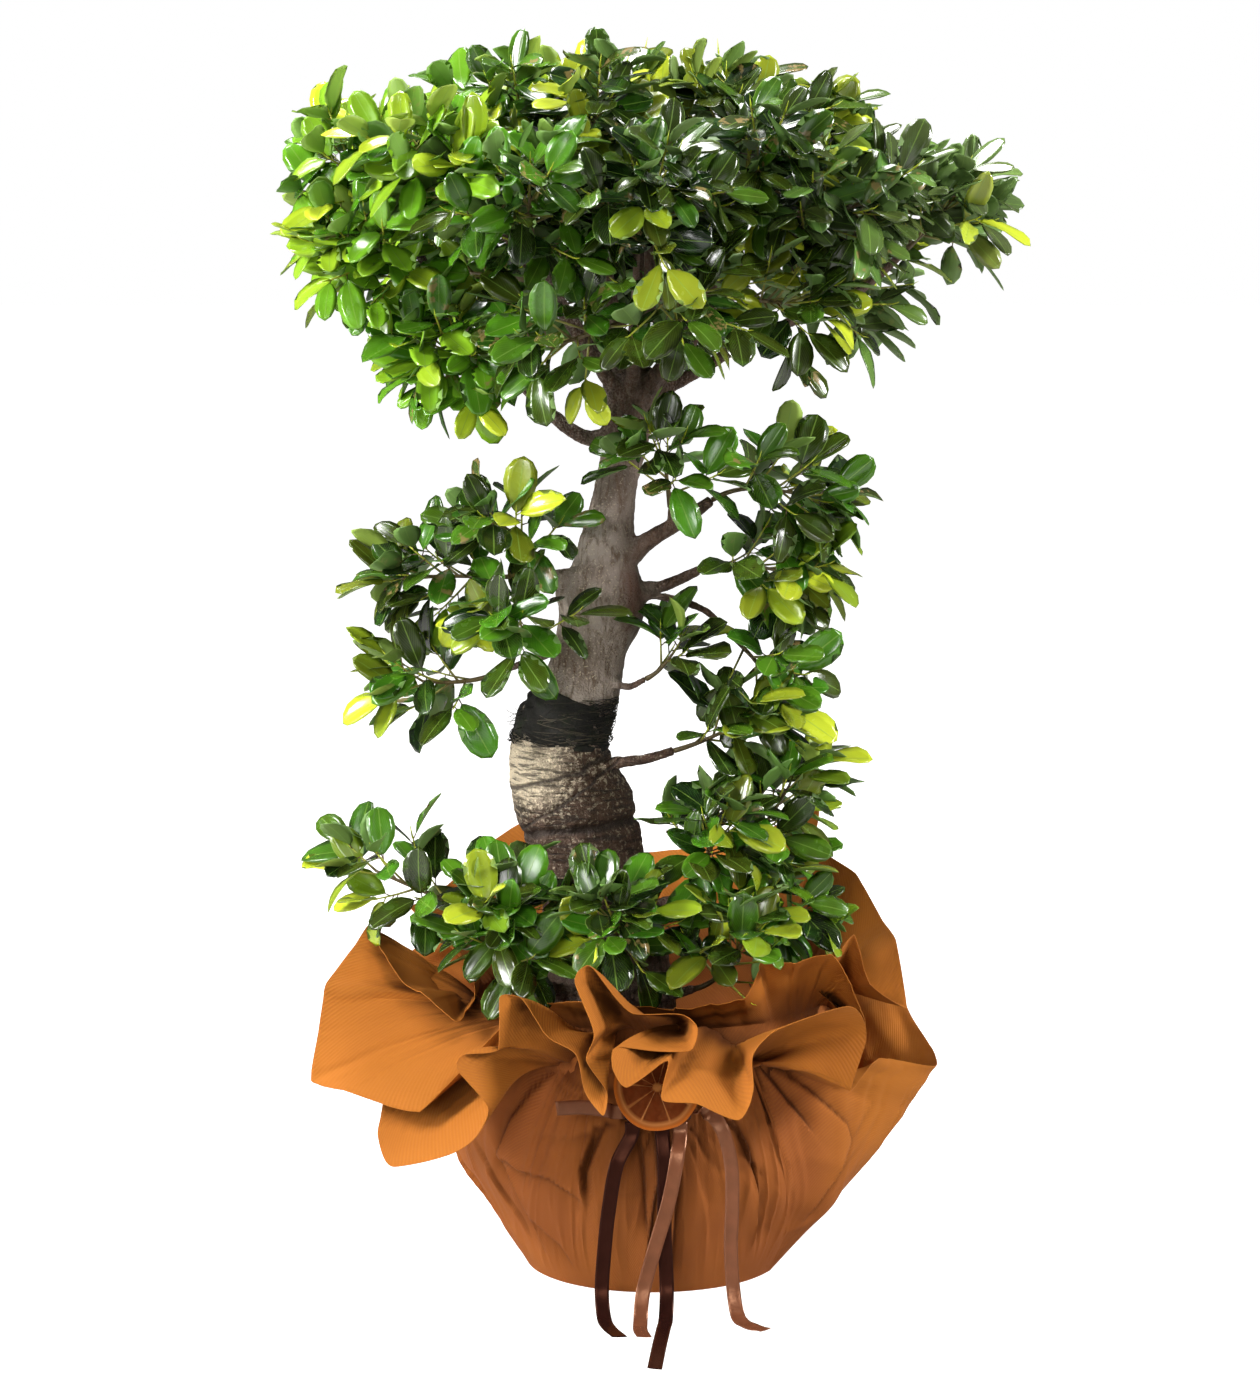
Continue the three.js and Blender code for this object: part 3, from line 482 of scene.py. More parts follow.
def bark_material(settings):
    """Living ficus bark: a thin grey skin with upright streaks, corky specks, cracks, and a rough crown."""
    material, add = begin("bark, living ficus")
    place = add("TexCoord", out="Object")
    side, _, height = add("SeparateXYZ", (place,), slice(3))
    limb = add("Attribute", out="Fac", attribute_name="limb")
    # Streaks are 4 to 6 mm wide and three times as long
    upright = add("Mapping", {"Vector": place, "Scale": (1, 1, 0.3)})
    streak = add("TexNoise", {"Vector": upright, "Scale": 190, "Detail": 6, "Roughness": 0.65, "Distortion": 0.4})
    cloud = add("TexNoise", {"Vector": place, "Scale": 22, "Detail": 4})
    speck = add("TexNoise", {"Vector": place, "Scale": 520, "Detail": 2})
    streaks = add("MapRange", (streak, 0.46, 0.64, 0, 0.9))
    clouds = add("MapRange", (cloud, 0.38, 0.66, 0, 0.7))
    fleck = add("MapRange", (speck, 0.6, 0.68, 0, 0.55))
    # The right of the upper trunk is painted darker as shade, with papery red bark where the right branches leave it
    shady = add("MapRange", (side, -0.05, -0.015, 0, 0.75))
    far = add("VectorMath", (place, (1, 1, 0.35)), operation="MULTIPLY")
    far = add("VectorMath", (far, (-0.01, -0.03, 0.2075)), 1, operation="DISTANCE")
    paper = add("Math", (cloud, 0.03, far), operation="MULTIPLY_ADD")
    paper = add("MapRange", (paper, 0.024, 0.034, 0.7, 0))

    # The knee is stretched. It is pale at its left, partly bleached bark and partly a painted highlight of the light
    # from the left, and dark with pale corky flecks elsewhere and low down
    rise = add("MapRange", (height, 0.3, 0.33, 0, 1))
    fall = add("MapRange", (height, 0.455, 0.47, 1, 0))
    knee = add("Math", (rise, fall), operation="MULTIPLY")
    corky = add("TexNoise", {"Vector": place, "Scale": 250, "Detail": 8, "Roughness": 0.75})
    corky = add("MapRange", (corky, 0.4, 0.52, 0.35, 1.2))
    low = add("Math", (cloud, 0.06, height), operation="MULTIPLY_ADD")
    low = add("MapRange", (low, 0.425, 0.47, 0.25, 0))
    left = add("MapRange", (side, -0.11, -0.058, 1.15, 0))
    above = add("MapRange", (height, 0.385, 0.415, 0, 1))
    left = add("Math", (left, above), operation="MULTIPLY")
    corky = add("Math", (corky, low), operation="ADD")
    corky = add("Math", (corky, left), operation="SUBTRACT", use_clamp=True)
    stretched = add("Mix", {0: corky, 6: settings.cream, 7: rgb("#533c2c")}, **COLOURS)
    # The wrinkles are 1 to 2 mm wide and 15 to 25 mm long
    bent = add("Mapping", {"Vector": place, "Rotation": (0, 0.5, 0), "Scale": (1, 1, 9)})
    crack = add("TexNoise", {"Vector": bent, "Scale": 42, "Detail": 5, "Roughness": 0.6, "Distortion": 0.6})
    crack = add("MapRange", (crack, 0.52, 0.62, 0, 0.7))
    for first, slope, width in KNEE_LINES:
        line = add("Math", (side, -slope, height), operation="MULTIPLY_ADD")
        line = add("Math", (cloud, 0.02, line), operation="MULTIPLY_ADD")
        line = add("Math", (line, first + 0.01), operation="SUBTRACT")
        line = add("Math", (line,), operation="ABSOLUTE")
        line = add("MapRange", (line, 0.3 * width, width, 0.85, 0))
        crack = add("Math", (crack, line), operation="MAXIMUM")
    cracked = add("Math", (crack, knee), operation="MULTIPLY")

    # Low on the knee, at the crown and on the limbs the bark is dark and rough
    rugged = add("MapRange", (height, 0.3, 0.34, 0.75, 0))
    for other in (add("MapRange", (height, 0.685, 0.73, 0, 0.9)), limb):
        rugged = add("Math", (rugged, other), operation="MAXIMUM")
    patchy = add("MapRange", (speck, 0.35, 0.6, 0.3, 1.1))
    rugged = add("Math", (rugged, patchy), operation="MULTIPLY")
    rusty = add("Mix", {0: streaks, 6: rgb("#5b402f"), 7: settings.dark}, **COLOURS)
    skin = settings.pale
    for share, colour in (
        (streaks, settings.brown), (clouds, settings.brown), (fleck, settings.cream), (shady, rgb("#4f3d31")),
        (paper, rgb("#5c3a2b")), (knee, stretched), (cracked, rgb("#2b2019")), (rugged, rusty),
    ):
        skin = add("Mix", {0: share, 6: skin, 7: colour}, **COLOURS)

    relief = add("Math", (streak, speck), operation="ADD")
    relief = add("Math", (relief, cracked), operation="SUBTRACT")
    bump = add("Bump", {"Height": relief, "Strength": 0.9, "Distance": 0.0026})
    rough = add("MapRange", (streak, 0.3, 0.7, 0.55, 0.85))
    return close(material, add("BsdfPrincipled", {"Base Color": skin, "Roughness": rough, "Normal": bump}))


def fibre_material():
    """Coconut fibre and old tape, black-green with moss. Matt all over."""
    material, add = begin("fibre, matted")
    place = add("TexCoord", out="Object")
    hair = add("TexNoise", {"Vector": place, "Scale": 300, "Detail": 5})
    moss = add("TexNoise", {"Vector": place, "Scale": 90, "Detail": 3})
    moss = add("MapRange", (moss, 0.5, 0.7, 0, 0.6))
    loose = add("Attribute", out="Fac", attribute_name="tone")
    loose = add("MapRange", (loose, 0.6, 1, 0, 0.9))
    tint = rgb("#090807")
    for share, colour in ((hair, "#2a2721"), (moss, "#232b16"), (loose, "#5c5444")):
        tint = add("Mix", {0: share, 6: tint, 7: rgb(colour)}, **COLOURS)
    bump = add("Bump", {"Height": hair, "Strength": 0.8, "Distance": 0.0015})
    return close(material, add("BsdfPrincipled", {"Base Color": tint, "Roughness": 0.9, "Normal": bump}))


def cloth_material(settings):
    """Embossed non-woven cloth. Pressed diagonal ribs catch the light, and the fibres have hardly any gloss."""
    material, add = begin("non-woven cloth, embossed")
    place = add("TexCoord", out="Object")
    uv = add("UVMap", uv_map="UVMap")
    # The real ribs lie 1.5 mm apart. They are drawn at the wider spacing so that they show from a step away
    run = add("Math", add("SeparateXYZ", (uv,), slice(2)), operation="ADD")
    wave = add("Math", (run, 2 * math.pi / (settings.rib * math.sqrt(2))), operation="MULTIPLY")
    wave = add("Math", (wave,), operation="SINE")
    rib = add("MapRange", (wave, -1, 1, 0, 1))
    fuzz = add("TexNoise", {"Vector": uv, "Scale": 900, "Detail": 3})
    cloud = add("TexNoise", {"Vector": place, "Scale": 14, "Detail": 3})
    ribs = add("MapRange", (rib, 0, 1, -0.1, 0.16))
    clouds = add("MapRange", (cloud, 0.35, 0.7, -0.05, 0.2))
    shade = add("Math", (ribs, clouds), operation="ADD")
    # Painted light and shade: the body is painted in the deeper colour, the ruffle in the warm colour as lit through
    # from behind; ribs and clouds are real tone
    backed, pinch = [add("Attribute", out="Fac", attribute_name=name) for name in ("backed", "pinched")]
    shade = add("Math", (backed, 0.72, shade), operation="MULTIPLY_ADD", use_clamp=True)
    tint = add("Mix", {0: shade, 6: settings.warm, 7: settings.deep}, **COLOURS)
    # Painted shade: the cloth darkens towards the shade colour in creases, at the gathered neck, round the knot and
    # deep in the folds
    tint = add("Mix", {0: pinch, 6: tint, 7: settings.pinched}, **COLOURS)
    height = add("Math", (fuzz, 0.5, rib), operation="MULTIPLY_ADD")
    bump = add("Bump", {"Height": height, "Strength": 0.3, "Distance": 0.0006})
    return close(material, add("BsdfPrincipled", {
        "Base Color": tint, "Roughness": 0.8, "Specular IOR Level": 0.3, "Specular Tint": rgb("#c98a58"),
        "Normal": bump,
    }))


def satin_material(name, tint, gleam):
    """Woven satin ribbon. Long floats run along it, so it gleams, with fine cross lines between them."""
    material, add = begin(name)
    uv = add("UVMap", uv_map="UVMap")
    lines = add("Math", (add("SeparateXYZ", (uv,)), 9000), operation="MULTIPLY")
    lines = add("Math", (lines,), operation="SINE")
    cloud = add("TexNoise", {"Vector": uv, "Scale": 70, "Detail": 2})
    worn = add("Mix", {0: cloud, 6: darker(tint, 0.55), 7: tint}, **COLOURS)
    bump = add("Bump", {"Height": lines, "Strength": 0.12, "Distance": 0.0002})
    return close(material, add("BsdfPrincipled", {
        "Base Color": worn, "Roughness": 0.26, "Specular IOR Level": 0.9, "Specular Tint": gleam, "Normal": bump,
    }))


def soil_material():
    """Potting soil: dark peat with bark crumbs, quite matt."""
    material, add = begin("soil, moist peat")
    place = add("TexCoord", out="Object")
    grain = add("TexNoise", {"Vector": place, "Scale": 240, "Detail": 6})
    tint = add("Mix", {0: grain, 6: rgb("#1b120c"), 7: rgb("#4d3726")}, **COLOURS)
    bump = add("Bump", {"Height": grain, "Strength": 0.9, "Distance": 0.002})
    return close(material, add("BsdfPrincipled", {"Base Color": tint, "Roughness": 0.95, "Normal": bump}))


def plastic_material():
    """Blow-moulded polypropylene with a fine dull grain, scuffed paler in places."""
    material, add = begin("polypropylene, moulded")
    place = add("TexCoord", out="Object")
    scuff = add("TexNoise", {"Vector": place, "Scale": 35, "Detail": 5})
    grain = add("TexNoise", {"Vector": place, "Scale": 900})
    tint = add("Mix", {0: scuff, 6: rgb("#2a211c"), 7: rgb("#4a3a31")}, **COLOURS)
    rough = add("MapRange", (scuff, 0.3, 0.7, 0.4, 0.6))
    bump = add("Bump", {"Height": grain, "Strength": 0.1, "Distance": 0.0002})
    return close(material, add("BsdfPrincipled", {"Base Color": tint, "Roughness": rough, "Normal": bump}))


def orange_material(settings):
    """Dried orange: the rind is leathery, the segments glassy and wrinkled, the pith dull and pale."""
    material, add = begin("orange, oven-dried")
    place = add("TexCoord", out="Object")
    pith, rind = [add("Attribute", out="Fac", attribute_name=name) for name in ("pith", "rind")]
    pulp = add("TexNoise", {"Vector": place, "Scale": 190, "Detail": 4})
    tint = darker(settings.flesh, 0.45)
    for share, colour in ((pulp, settings.flesh), (pith, settings.pith), (rind, settings.rind)):
        tint = add("Mix", {0: share, 6: tint, 7: colour}, **COLOURS)
    bump = add("Bump", {"Height": pulp, "Strength": 0.5, "Distance": 0.001})
    return close(material, add("BsdfPrincipled", {
        "Base Color": tint, "Roughness": 0.45, "Specular IOR Level": 0.3, "Specular Tint": rgb("#d08a50"),
        "Normal": bump,
    }))


def floor_material(settings):
    """Matt painted floor with a faint unevenness."""
    material, add = begin("floor, matt paint")
    place = add("TexCoord", out="Object")
    cloud = add("TexNoise", {"Vector": place, "Scale": 3})
    rough = add("MapRange", {0: cloud, 3: 0.6, 4: 0.8})
    # A light of its own, which only the camera sees, keeps the floor as white as the studio
    seen = add("LightPath", out="Is Camera Ray")
    glow = add("Math", (seen, 0.98), operation="MULTIPLY")
    return close(material, add("BsdfPrincipled", {
        "Base Color": settings.floor, "Roughness": rough, "Emission Color": (1, 1, 1, 1), "Emission Strength": glow,
    }))


# Trunk: its middle line, its half widths and its limbs, in millimetres as in the frame
SOIL_TOP = 172
TRUNK_FOOT = -42
TRUNK_LINE = [
    [TRUNK_FOOT, 0, 87], [TRUNK_FOOT, 0, SOIL_TOP], [-44, 0, 230], [-48, 0, 300], [-54, 0, 360], [-66, 0, 395],
    [-79, 2, 432], [-79, 2, 462], [-70, 0, 486], [-60, 0, 512], [-51, 0, 545], [-43, -2, 580], [-41, -4, 615],
    [-36, -4, 650], [-30, -2, 685], [-24, 0, 718], [-20, 0, 742], [-18, 0, 772],
]
TRUNK_HALF = [61, 61, 58, 50, 44, 51, 46, 41, 36, 31, 32, 38, 27, 20, 18, 19, 22, 18]
TRUNK_DEPTH_SHARE = 0.94
TRUNK = Line(TRUNK_LINE)


def limb(start, end, *line):
    return {"line": Line(line), "thick": (start, end)}


LIMBS = {
    "lowLeft": limb(
        6.5, 4, [-26, 0, 726], [-54, -6, 719], [-84, -10, 738], [-113, -14, 768], [-165, -22, 826],
        [-205, -25, 888],
    ),
    "lowRight": limb(6, 3.6, [-18, 0, 752], [23, -4, 768], [83, -6, 803], [176, -8, 845], [215, -6, 880]),
    "leftStem": limb(7, 4, [-24, 3, 758], [-36, 8, 840], [-52, 4, 915], [-90, -8, 975]),
    "middleStem": limb(8, 4, [-16, 2, 760], [-4, 0, 836], [-4, 12, 920], [-18, 24, 972]),
    "rightStem": limb(8, 4, [-12, -2, 755], [22, -14, 790], [46, -20, 830], [50, -20, 890], [54, -14, 958]),
    "front": limb(6, 3.6, [-18, -6, 750], [-16, -70, 818], [-14, -130, 885]),
    "back": limb(6, 3.6, [-20, 8, 750], [-14, 80, 832], [-6, 145, 900]),
    "backLeft": limb(6, 3.6, [-24, 6, 748], [-85, 66, 842], [-138, 98, 912]),
    "frontLeft": limb(6, 3.6, [-26, -6, 752], [-82, -62, 835], [-128, -98, 900]),
    "frontRight": limb(6, 3.6, [-14, -6, 752], [48, -62, 830], [108, -84, 885]),
    "backRight": limb(6, 3.6, [-14, 6, 752], [60, 64, 842], [128, 84, 910]),
    "rightBough": limb(9, 5, [-34, -4, 606], [-8, -14, 630], [24, -22, 650], [50, -26, 668]),
    "rightBranch": limb(7, 4.5, [-36, 0, 590], [2, 2, 590], [40, -4, 606]),
    "rightTwig": limb(4.5, 3, [-34, -4, 582], [6, -10, 584], [45, -12, 572], [62, -14, 556]),
    "leftBranch": limb(7, 4, [-44, 0, 590], [-74, -14, 600], [-108, -24, 602]),
    "leftTwig": limb(5, 3, [-52, 0, 545], [-90, -24, 536], [-135, -34, 520]),
    "lowTwig": limb(4.5, 2.8, [-52, -4, 520], [-22, -26, 508], [-6, -34, 516]),
    "kneeTwig": limb(6, 3.6, [-60, -10, 440], [-10, -32, 446], [18, -40, 455]),
    "rootRight": limb(8, 4.5, [-46, 0, 300], [20, -24, 322], [58, -40, 352]),
    "rootFront": limb(8, 4.5, [-44, -10, 262], [-36, -62, 282], [-30, -88, 296]),
    "rootLeft": limb(7, 4, [-50, -6, 285], [-110, -40, 300], [-150, -56, 318]),
    "rootLow": limb(7, 4, [-44, -4, 236], [8, -60, 246], [36, -86, 258]),
    "rootLowLeft": limb(7, 4, [-48, -4, 240], [-84, -52, 250], [-104, -84, 262]),
}
STUB = {"length": 20, "radius": 3.4, "end": 3}

# Sprays: the limb each grows from, how far along it, where its tip is, its shoots and their length
CANOPY = (12, 60)
SIDE = (8, 44)
WIDE_SIDE = (12, 44)
SPRAYS = {
    "canopy_left_tip": ("lowLeft", 1, [-256, -28, 952], CANOPY),
    "canopy_left_low": ("lowLeft", 0.8, [-246, -72, 880], CANOPY),
    "canopy_left_hanging": ("lowLeft", 0.52, [-176, -72, 792], CANOPY),
    "canopy_left_front": ("frontLeft", 1, [-190, -128, 958], CANOPY),
    "canopy_left_back": ("backLeft", 1, [-206, 104, 958], CANOPY),
    "canopy_left_back_low": ("backLeft", 0.62, [-196, 118, 862], CANOPY),
    "canopy_top_left": ("leftStem", 1, [-128, -34, 990], CANOPY),
    "canopy_top_front": ("leftStem", 0.7, [-48, -96, 990], CANOPY),
    "canopy_top_middle": ("middleStem", 1, [-30, 62, 992], CANOPY),
    "canopy_top_right": ("rightStem", 1, [62, -4, 988], CANOPY),
    "canopy_top_right_back": ("backRight", 1, [146, 60, 966], CANOPY),
    "canopy_top_right_front": ("rightStem", 0.72, [92, -112, 956], CANOPY),
    "canopy_front": ("front", 1, [2, -200, 930], CANOPY),
    "canopy_front_left": ("frontLeft", 0.72, [-100, -180, 922], CANOPY),
    "canopy_front_low": ("front", 0.55, [-84, -146, 802], CANOPY),
    "canopy_front_low_right": ("front", 0.72, [22, -158, 836], CANOPY),
    "canopy_front_right": ("frontRight", 1, [172, -92, 918], CANOPY),
    "canopy_right_low": ("frontRight", 0.66, [110, -98, 836], CANOPY),
    "canopy_right_under": ("lowRight", 0.6, [180, 62, 848], CANOPY),
    "canopy_right_tip": ("lowRight", 1, [246, -8, 912], CANOPY),
    "canopy_right_back": ("backRight", 0.64, [176, 150, 908], CANOPY),
    "canopy_back": ("back", 1, [44, 196, 940], CANOPY),
    "canopy_back_left": ("back", 0.78, [-108, 166, 956], CANOPY),
    "canopy_back_low": ("back", 0.58, [24, 190, 852], CANOPY),
    "canopy_back_low_left": ("backLeft", 0.4, [-92, 190, 856], CANOPY),
    "right_upper": ("rightBough", 0.62, [10, -54, 700], SIDE),
    "right_outer": ("rightBough", 1, [128, -34, 672], WIDE_SIDE),
    "right_middle": ("rightBranch", 1, [112, -30, 606], WIDE_SIDE),
    "right_hanging": ("rightTwig", 1, [98, -38, 520], SIDE),
    "left_upper": ("leftBranch", 0.66, [-122, -58, 646], SIDE),
    "left_outer": ("leftBranch", 1, [-200, -34, 604], WIDE_SIDE),
    "left_front": ("leftTwig", 0.5, [-118, -84, 570], SIDE),
    "left_low": ("leftTwig", 1, [-196, -50, 516], SIDE),
    "trunk_sprig": ("lowTwig", 1, [16, -44, 538], (4, 30)),
    "knee_upper": ("kneeTwig", 1, [72, -56, 480], SIDE),
    "knee_outer": ("rootRight", 1, [116, -40, 424], WIDE_SIDE),
    "knee_front": ("rootRight", 0.7, [52, -92, 388], WIDE_SIDE),
    "knee_low": ("rootRight", 0.6, [118, -58, 316], SIDE),
    "root_front": ("rootFront", 1, [-34, -146, 330], WIDE_SIDE),
    "root_front_left": ("rootLeft", 0.6, [-122, -112, 326], WIDE_SIDE),
    "root_left_spur": ("rootLeft", 1, [-236, -66, 356], SIDE),
    "root_low_right": ("rootLow", 1, [74, -130, 308], WIDE_SIDE),
    "root_low_left": ("rootLowLeft", 1, [-132, -126, 318], SIDE),
}
SEED_FIRST = 101
SEED_STEP = 37
GAP = 0.3
GOLDEN_ANGLE = math.radians(137.5)
LEAF_DROOP = 0.14
LEAVES_ON_SHOOT = 6
# Where the leaves sit on a shoot, as shares of its length
LEAF_SPAN = (0.35, 0.97)
INNER_SHOOTS = 6
# What the frame doesn't draw has dice of its own
LOOSE_SEED_FIRST = 900001
LOOSE_SEED_STEP = 17
# How far a leaf may pass the model's box, in metres
BOX_SLACK = 0.008
# The frame draws every fourth shoot of a spray, counted from its last
FRAME_STEP = 4
# How much shorter or longer the other shoots of the crown are, as a share of their length
LOOSE_SHOOTS = (-0.2, 0.5)


def spray_start(spray):
    """Where a spray leaves the wood, where it starts, and which way it points there."""
    name, at, tip, _ = spray
    line = LIMBS[name]["line"]
    start = line.point(at)
    if at == 1:
        return start, start, line.tangent(at)
    aim = unit(vec(*tip) - start)
    return start, start + aim * STUB["length"], aim


def leaf_plan(settings, base_from, direction, length, j, roll):
    """The place, direction and size of one leaf on a shoot."""
    step = (j + 1) / LEAVES_ON_SHOOT
    base = base_from + direction * length * mix(*LEAF_SPAN, step)
    opening = math.radians(mix(78, 34, step) + 16 * (roll() - 0.5))
    axis = leaning(direction, opening, j * GOLDEN_ANGLE + 0.8 * roll())
    axis[2] -= LEAF_DROOP
    axis = unit(axis)
    light = vec(0, 0, 1) + 0.8 * direction
    light[0] += 0.35 * (roll() - 0.5)
    light[1] += 0.35 * (roll() - 0.5) - 0.25
    face = unit(light - axis * np.dot(axis, light))
    long = settings.leaf_length / MM * (0.78 + 0.36 * roll()) * mix(1, 0.86, step)
    wide = long * settings.leaf_width * (0.9 + 0.2 * roll())
    return {"base": base, "axis": axis, "face": face, "long": long, "wide": wide, "tone": roll(), "step": step}


def shoot_plan(settings, stem, at, direction, length, roll):
    """A shoot that leaves the stem at a share of its length, with its leaves."""
    start = stem.point(at)
    leaves = [leaf_plan(settings, start, direction, length, j, roll) for j in range(LEAVES_ON_SHOOT)]
    return {"from": start, "direction": direction, "length": length, "leaves": leaves}


def spray_plan(settings, number, spray):
    """The stem, the shoots by the golden angle, and the leaves on each shoot."""
    roll = dice(SEED_FIRST + SEED_STEP * number)
    _, start, along = spray_start(spray)
    tip = vec(*spray[2])
    root = start + along * GAP
    stem = Bow(root, root + along * 0.42 * np.linalg.norm(tip - root), tip)
    count, shoot_length = spray[3]
    shoots = []
    for k in range(count):
        share = k / (count - 1)
        at = mix(0.3, 0.99, share)
        turn = k * GOLDEN_ANGLE + 0.7 * roll()
        spread = math.radians(mix(66, 14, share) + 12 * roll())
        play = 0.8 + 0.4 * roll()
        length = shoot_length * mix(1.05, 0.7, share) * play
        direction = leaning(stem.tangent(at), spread, turn)
        direction[2] += 0.12
        shoots.append(shoot_plan(settings, stem, at, unit(direction), length, roll))
    return stem, shoots


# A leaf's rows: how far along it they lie, and their half width as a share of the widest
LEAF_BASE = 0.1
LEAF_ROWS = [(0.15, 0.22), (0.27, 0.6), (0.42, 0.89), (0.6, 1.0), (0.79, 0.91), (0.93, 0.56)]
LEAF_ACROSS = [-1, -0.52, 0, 0.52, 1]
UPPER, LOWER, TWIG = 0, 1, 2


def leaf_faces():
    """Faces of the leaf and their materials: an upper and a lower side that share their rim, then the stalk."""
    rows, columns = len(LEAF_ROWS), len(LEAF_ACROSS)
    base, tip = rows * columns, rows * columns + 1
    stalk = tip + 1 + rows * (columns - 2)
    upper = [[row * columns + column for column in range(columns)] for row in range(rows)]
    inner = iter(range(tip + 1, stalk))
    lower = [[line[0], *[next(inner) for _ in range(columns - 2)], line[-1]] for line in upper]
    faces, kinds = [], []
    for kind, grid, order in ((UPPER, upper, 1), (LOWER, lower, -1)):
        for i in range(columns - 1):
            faces += [[base, grid[0][i], grid[0][i + 1]][::order], [tip, grid[-1][i + 1], grid[-1][i]][::order]]
            faces += [[low[i], high[i], high[i + 1], low[i + 1]][::order] for low, high in zip(grid, grid[1:])]
        kinds += [kind] * (len(faces) - len(kinds))
    faces += [[stalk + i for i in face] for face in net(2, 3)]
    return faces, kinds + [TWIG] * 3


LEAF_FACES, LEAF_KINDS = leaf_faces()


def leaf_points(leaf, settings, shape):
    """Points of one leaf, folded along its midrib, bent back towards its tip and waved at its rim."""
    thick = settings.leaf_thickness / MM
    half = leaf["wide"] / 2
    flat = []

    def sheet_point(along, across, width, lift):
        reach = across * width * half
        bend = -shape["curl"] * max(along - LEAF_BASE, 0) ** 2 * leaf["long"]
        fold = shape["fold"] * abs(reach)
        wave = shape["wave"] * half * across * abs(across) * math.sin(shape["phase"] + 7.5 * along)
        flat.append((along * leaf["long"], reach, bend + fold + wave + lift))

    for along, width in LEAF_ROWS:
        for across in LEAF_ACROSS:
            body = 1 - abs(across)
            groove = 0.25 * thick if across == 0 else 0
            sheet_point(along, across, width, thick * min(body, 0.5) - groove)
    sheet_point(LEAF_BASE, 0, 0, 0)
    sheet_point(1, 0, 0, 0)
    for along, width in LEAF_ROWS:
        for across in LEAF_ACROSS[1:-1]:
            ridge = thick if across == 0 else 0.5 * thick
            sheet_point(along, across, width, -ridge)
    for along, radius in ((0, 0.75), (LEAF_BASE + 0.06, 0.45)):
        for turn in (90, 210, 330):
            angle = math.radians(turn)
            flat.append((along * leaf["long"], radius * math.cos(angle), radius * math.sin(angle) - 0.3))
    flat = np.array(flat)
    side = np.cross(leaf["face"], leaf["axis"])
    points = leaf["base"] + np.outer(flat[:, 0], leaf["axis"]) + np.outer(flat[:, 1], side)
    return points + np.outer(flat[:, 2], leaf["face"])


def leaf_uvs():
    """Across and along each point of the leaf, from 0 to 1."""
    inner = LEAF_ACROSS[1:-1]
    uvs = [(across / 2 + 0.5, along) for along, _ in LEAF_ROWS for across in LEAF_ACROSS]
    uvs += [(0.5, LEAF_BASE), (0.5, 1)]
    uvs += [(across / 2 + 0.5, along) for along, _ in LEAF_ROWS for across in inner]
    return np.array(uvs + [(0.5, 0)] * 6)


LEAF_UVS = leaf_uvs()


def is_clear(leaf, walls):
    """Whether a leaf stays off the wood and the cloth, and inside the model's box."""
    tip = leaf["base"] + leaf["axis"] * leaf["long"]
    side = np.cross(leaf["face"], leaf["axis"]) * leaf["wide"] / 2
    middle = leaf["base"] + leaf["axis"] * leaf["long"] * 0.6
    strokes = [(leaf["base"] + leaf["axis"] * 3, tip), (middle - side, middle + side)]
    for start, end in strokes:
        way = Vector((end - start) * MM)
        if walls.ray_cast(Vector(start * MM), way.normalized(), way.length)[0] is not None:
            return False
    low, high = CAD_BOX
    spots = (tip, middle - side, middle + side)
    return all(low[i] - BOX_SLACK <= spot[i] * MM <= high[i] + BOX_SLACK for spot in spots for i in range(3))


def twisted(leaf, turn):
    """Turns a leaf's face about its own midrib."""
    side = np.cross(leaf["face"], leaf["axis"])
    leaf["face"] = leaf["face"] * math.cos(turn) + side * math.sin(turn)


def inner_shoots(settings, stem, count, roll):
    """Short shoots low on a canopy's stem, which fill it from inside."""
    shoots = []
    for k in range(count):
        at = mix(0.08, 0.78, (k + roll()) / count)
        direction = leaning(stem.tangent(at), math.radians(48 + 30 * roll()), k * GOLDEN_ANGLE + roll())
        shoots.append(shoot_plan(settings, stem, at, direction, 34 + 20 * roll(), roll))
    return shoots


OPEN_SPRAYS = ("canopy_front_low", "canopy_front_low_right", "canopy_right_low", "canopy_right_under")


def spray_grade(name, tip):
    """How bright, young, dull, wide and long a spray's leaves are, by its place on the tree. Brightness is painted
    light and shade across the crown, dull is a painted grey sheen on its right, and the yellow on its left is painted
    backlight.
    """
    x, _, z = tip
    if not name.startswith("canopy"):
        return {"tone_and_painted_light": 0.13, "young": 0.14, "dull": 0.0, "wide": 1.08, "long": 1.14, "skip": 2, "painted_backlight": 0.0}
    # On the right of the crown the leaves are greyed with a painted sheen of reflected light, and grow narrower and
    # longer
    dull = clamp((x - 110) / 130)
    # Painted light and shade: the tone is brighter on the lit left and on the right of the crown, and darker as
    # painted shade in its middle
    return {
        "tone_and_painted_light": -0.1 + 0.9 * clamp((-50 - x) / 140) + 0.3 * clamp((x - 120) / 100), "dull": 0.6 * dull,
        "skip": 3 if name in OPEN_SPRAYS else 0, "painted_backlight": 0.3 * clamp((-90 - x) / 120),
        # More young leaves at the top of the crown, and more on its lit left as painted light
        "young": 0.06 + 0.22 * clamp((z - 930) / 50) + 0.16 * clamp((-120 - x) / 80),
        "wide": mix(1.0, 0.8, dull), "long": mix(1.08, 1.18, dull),
    }


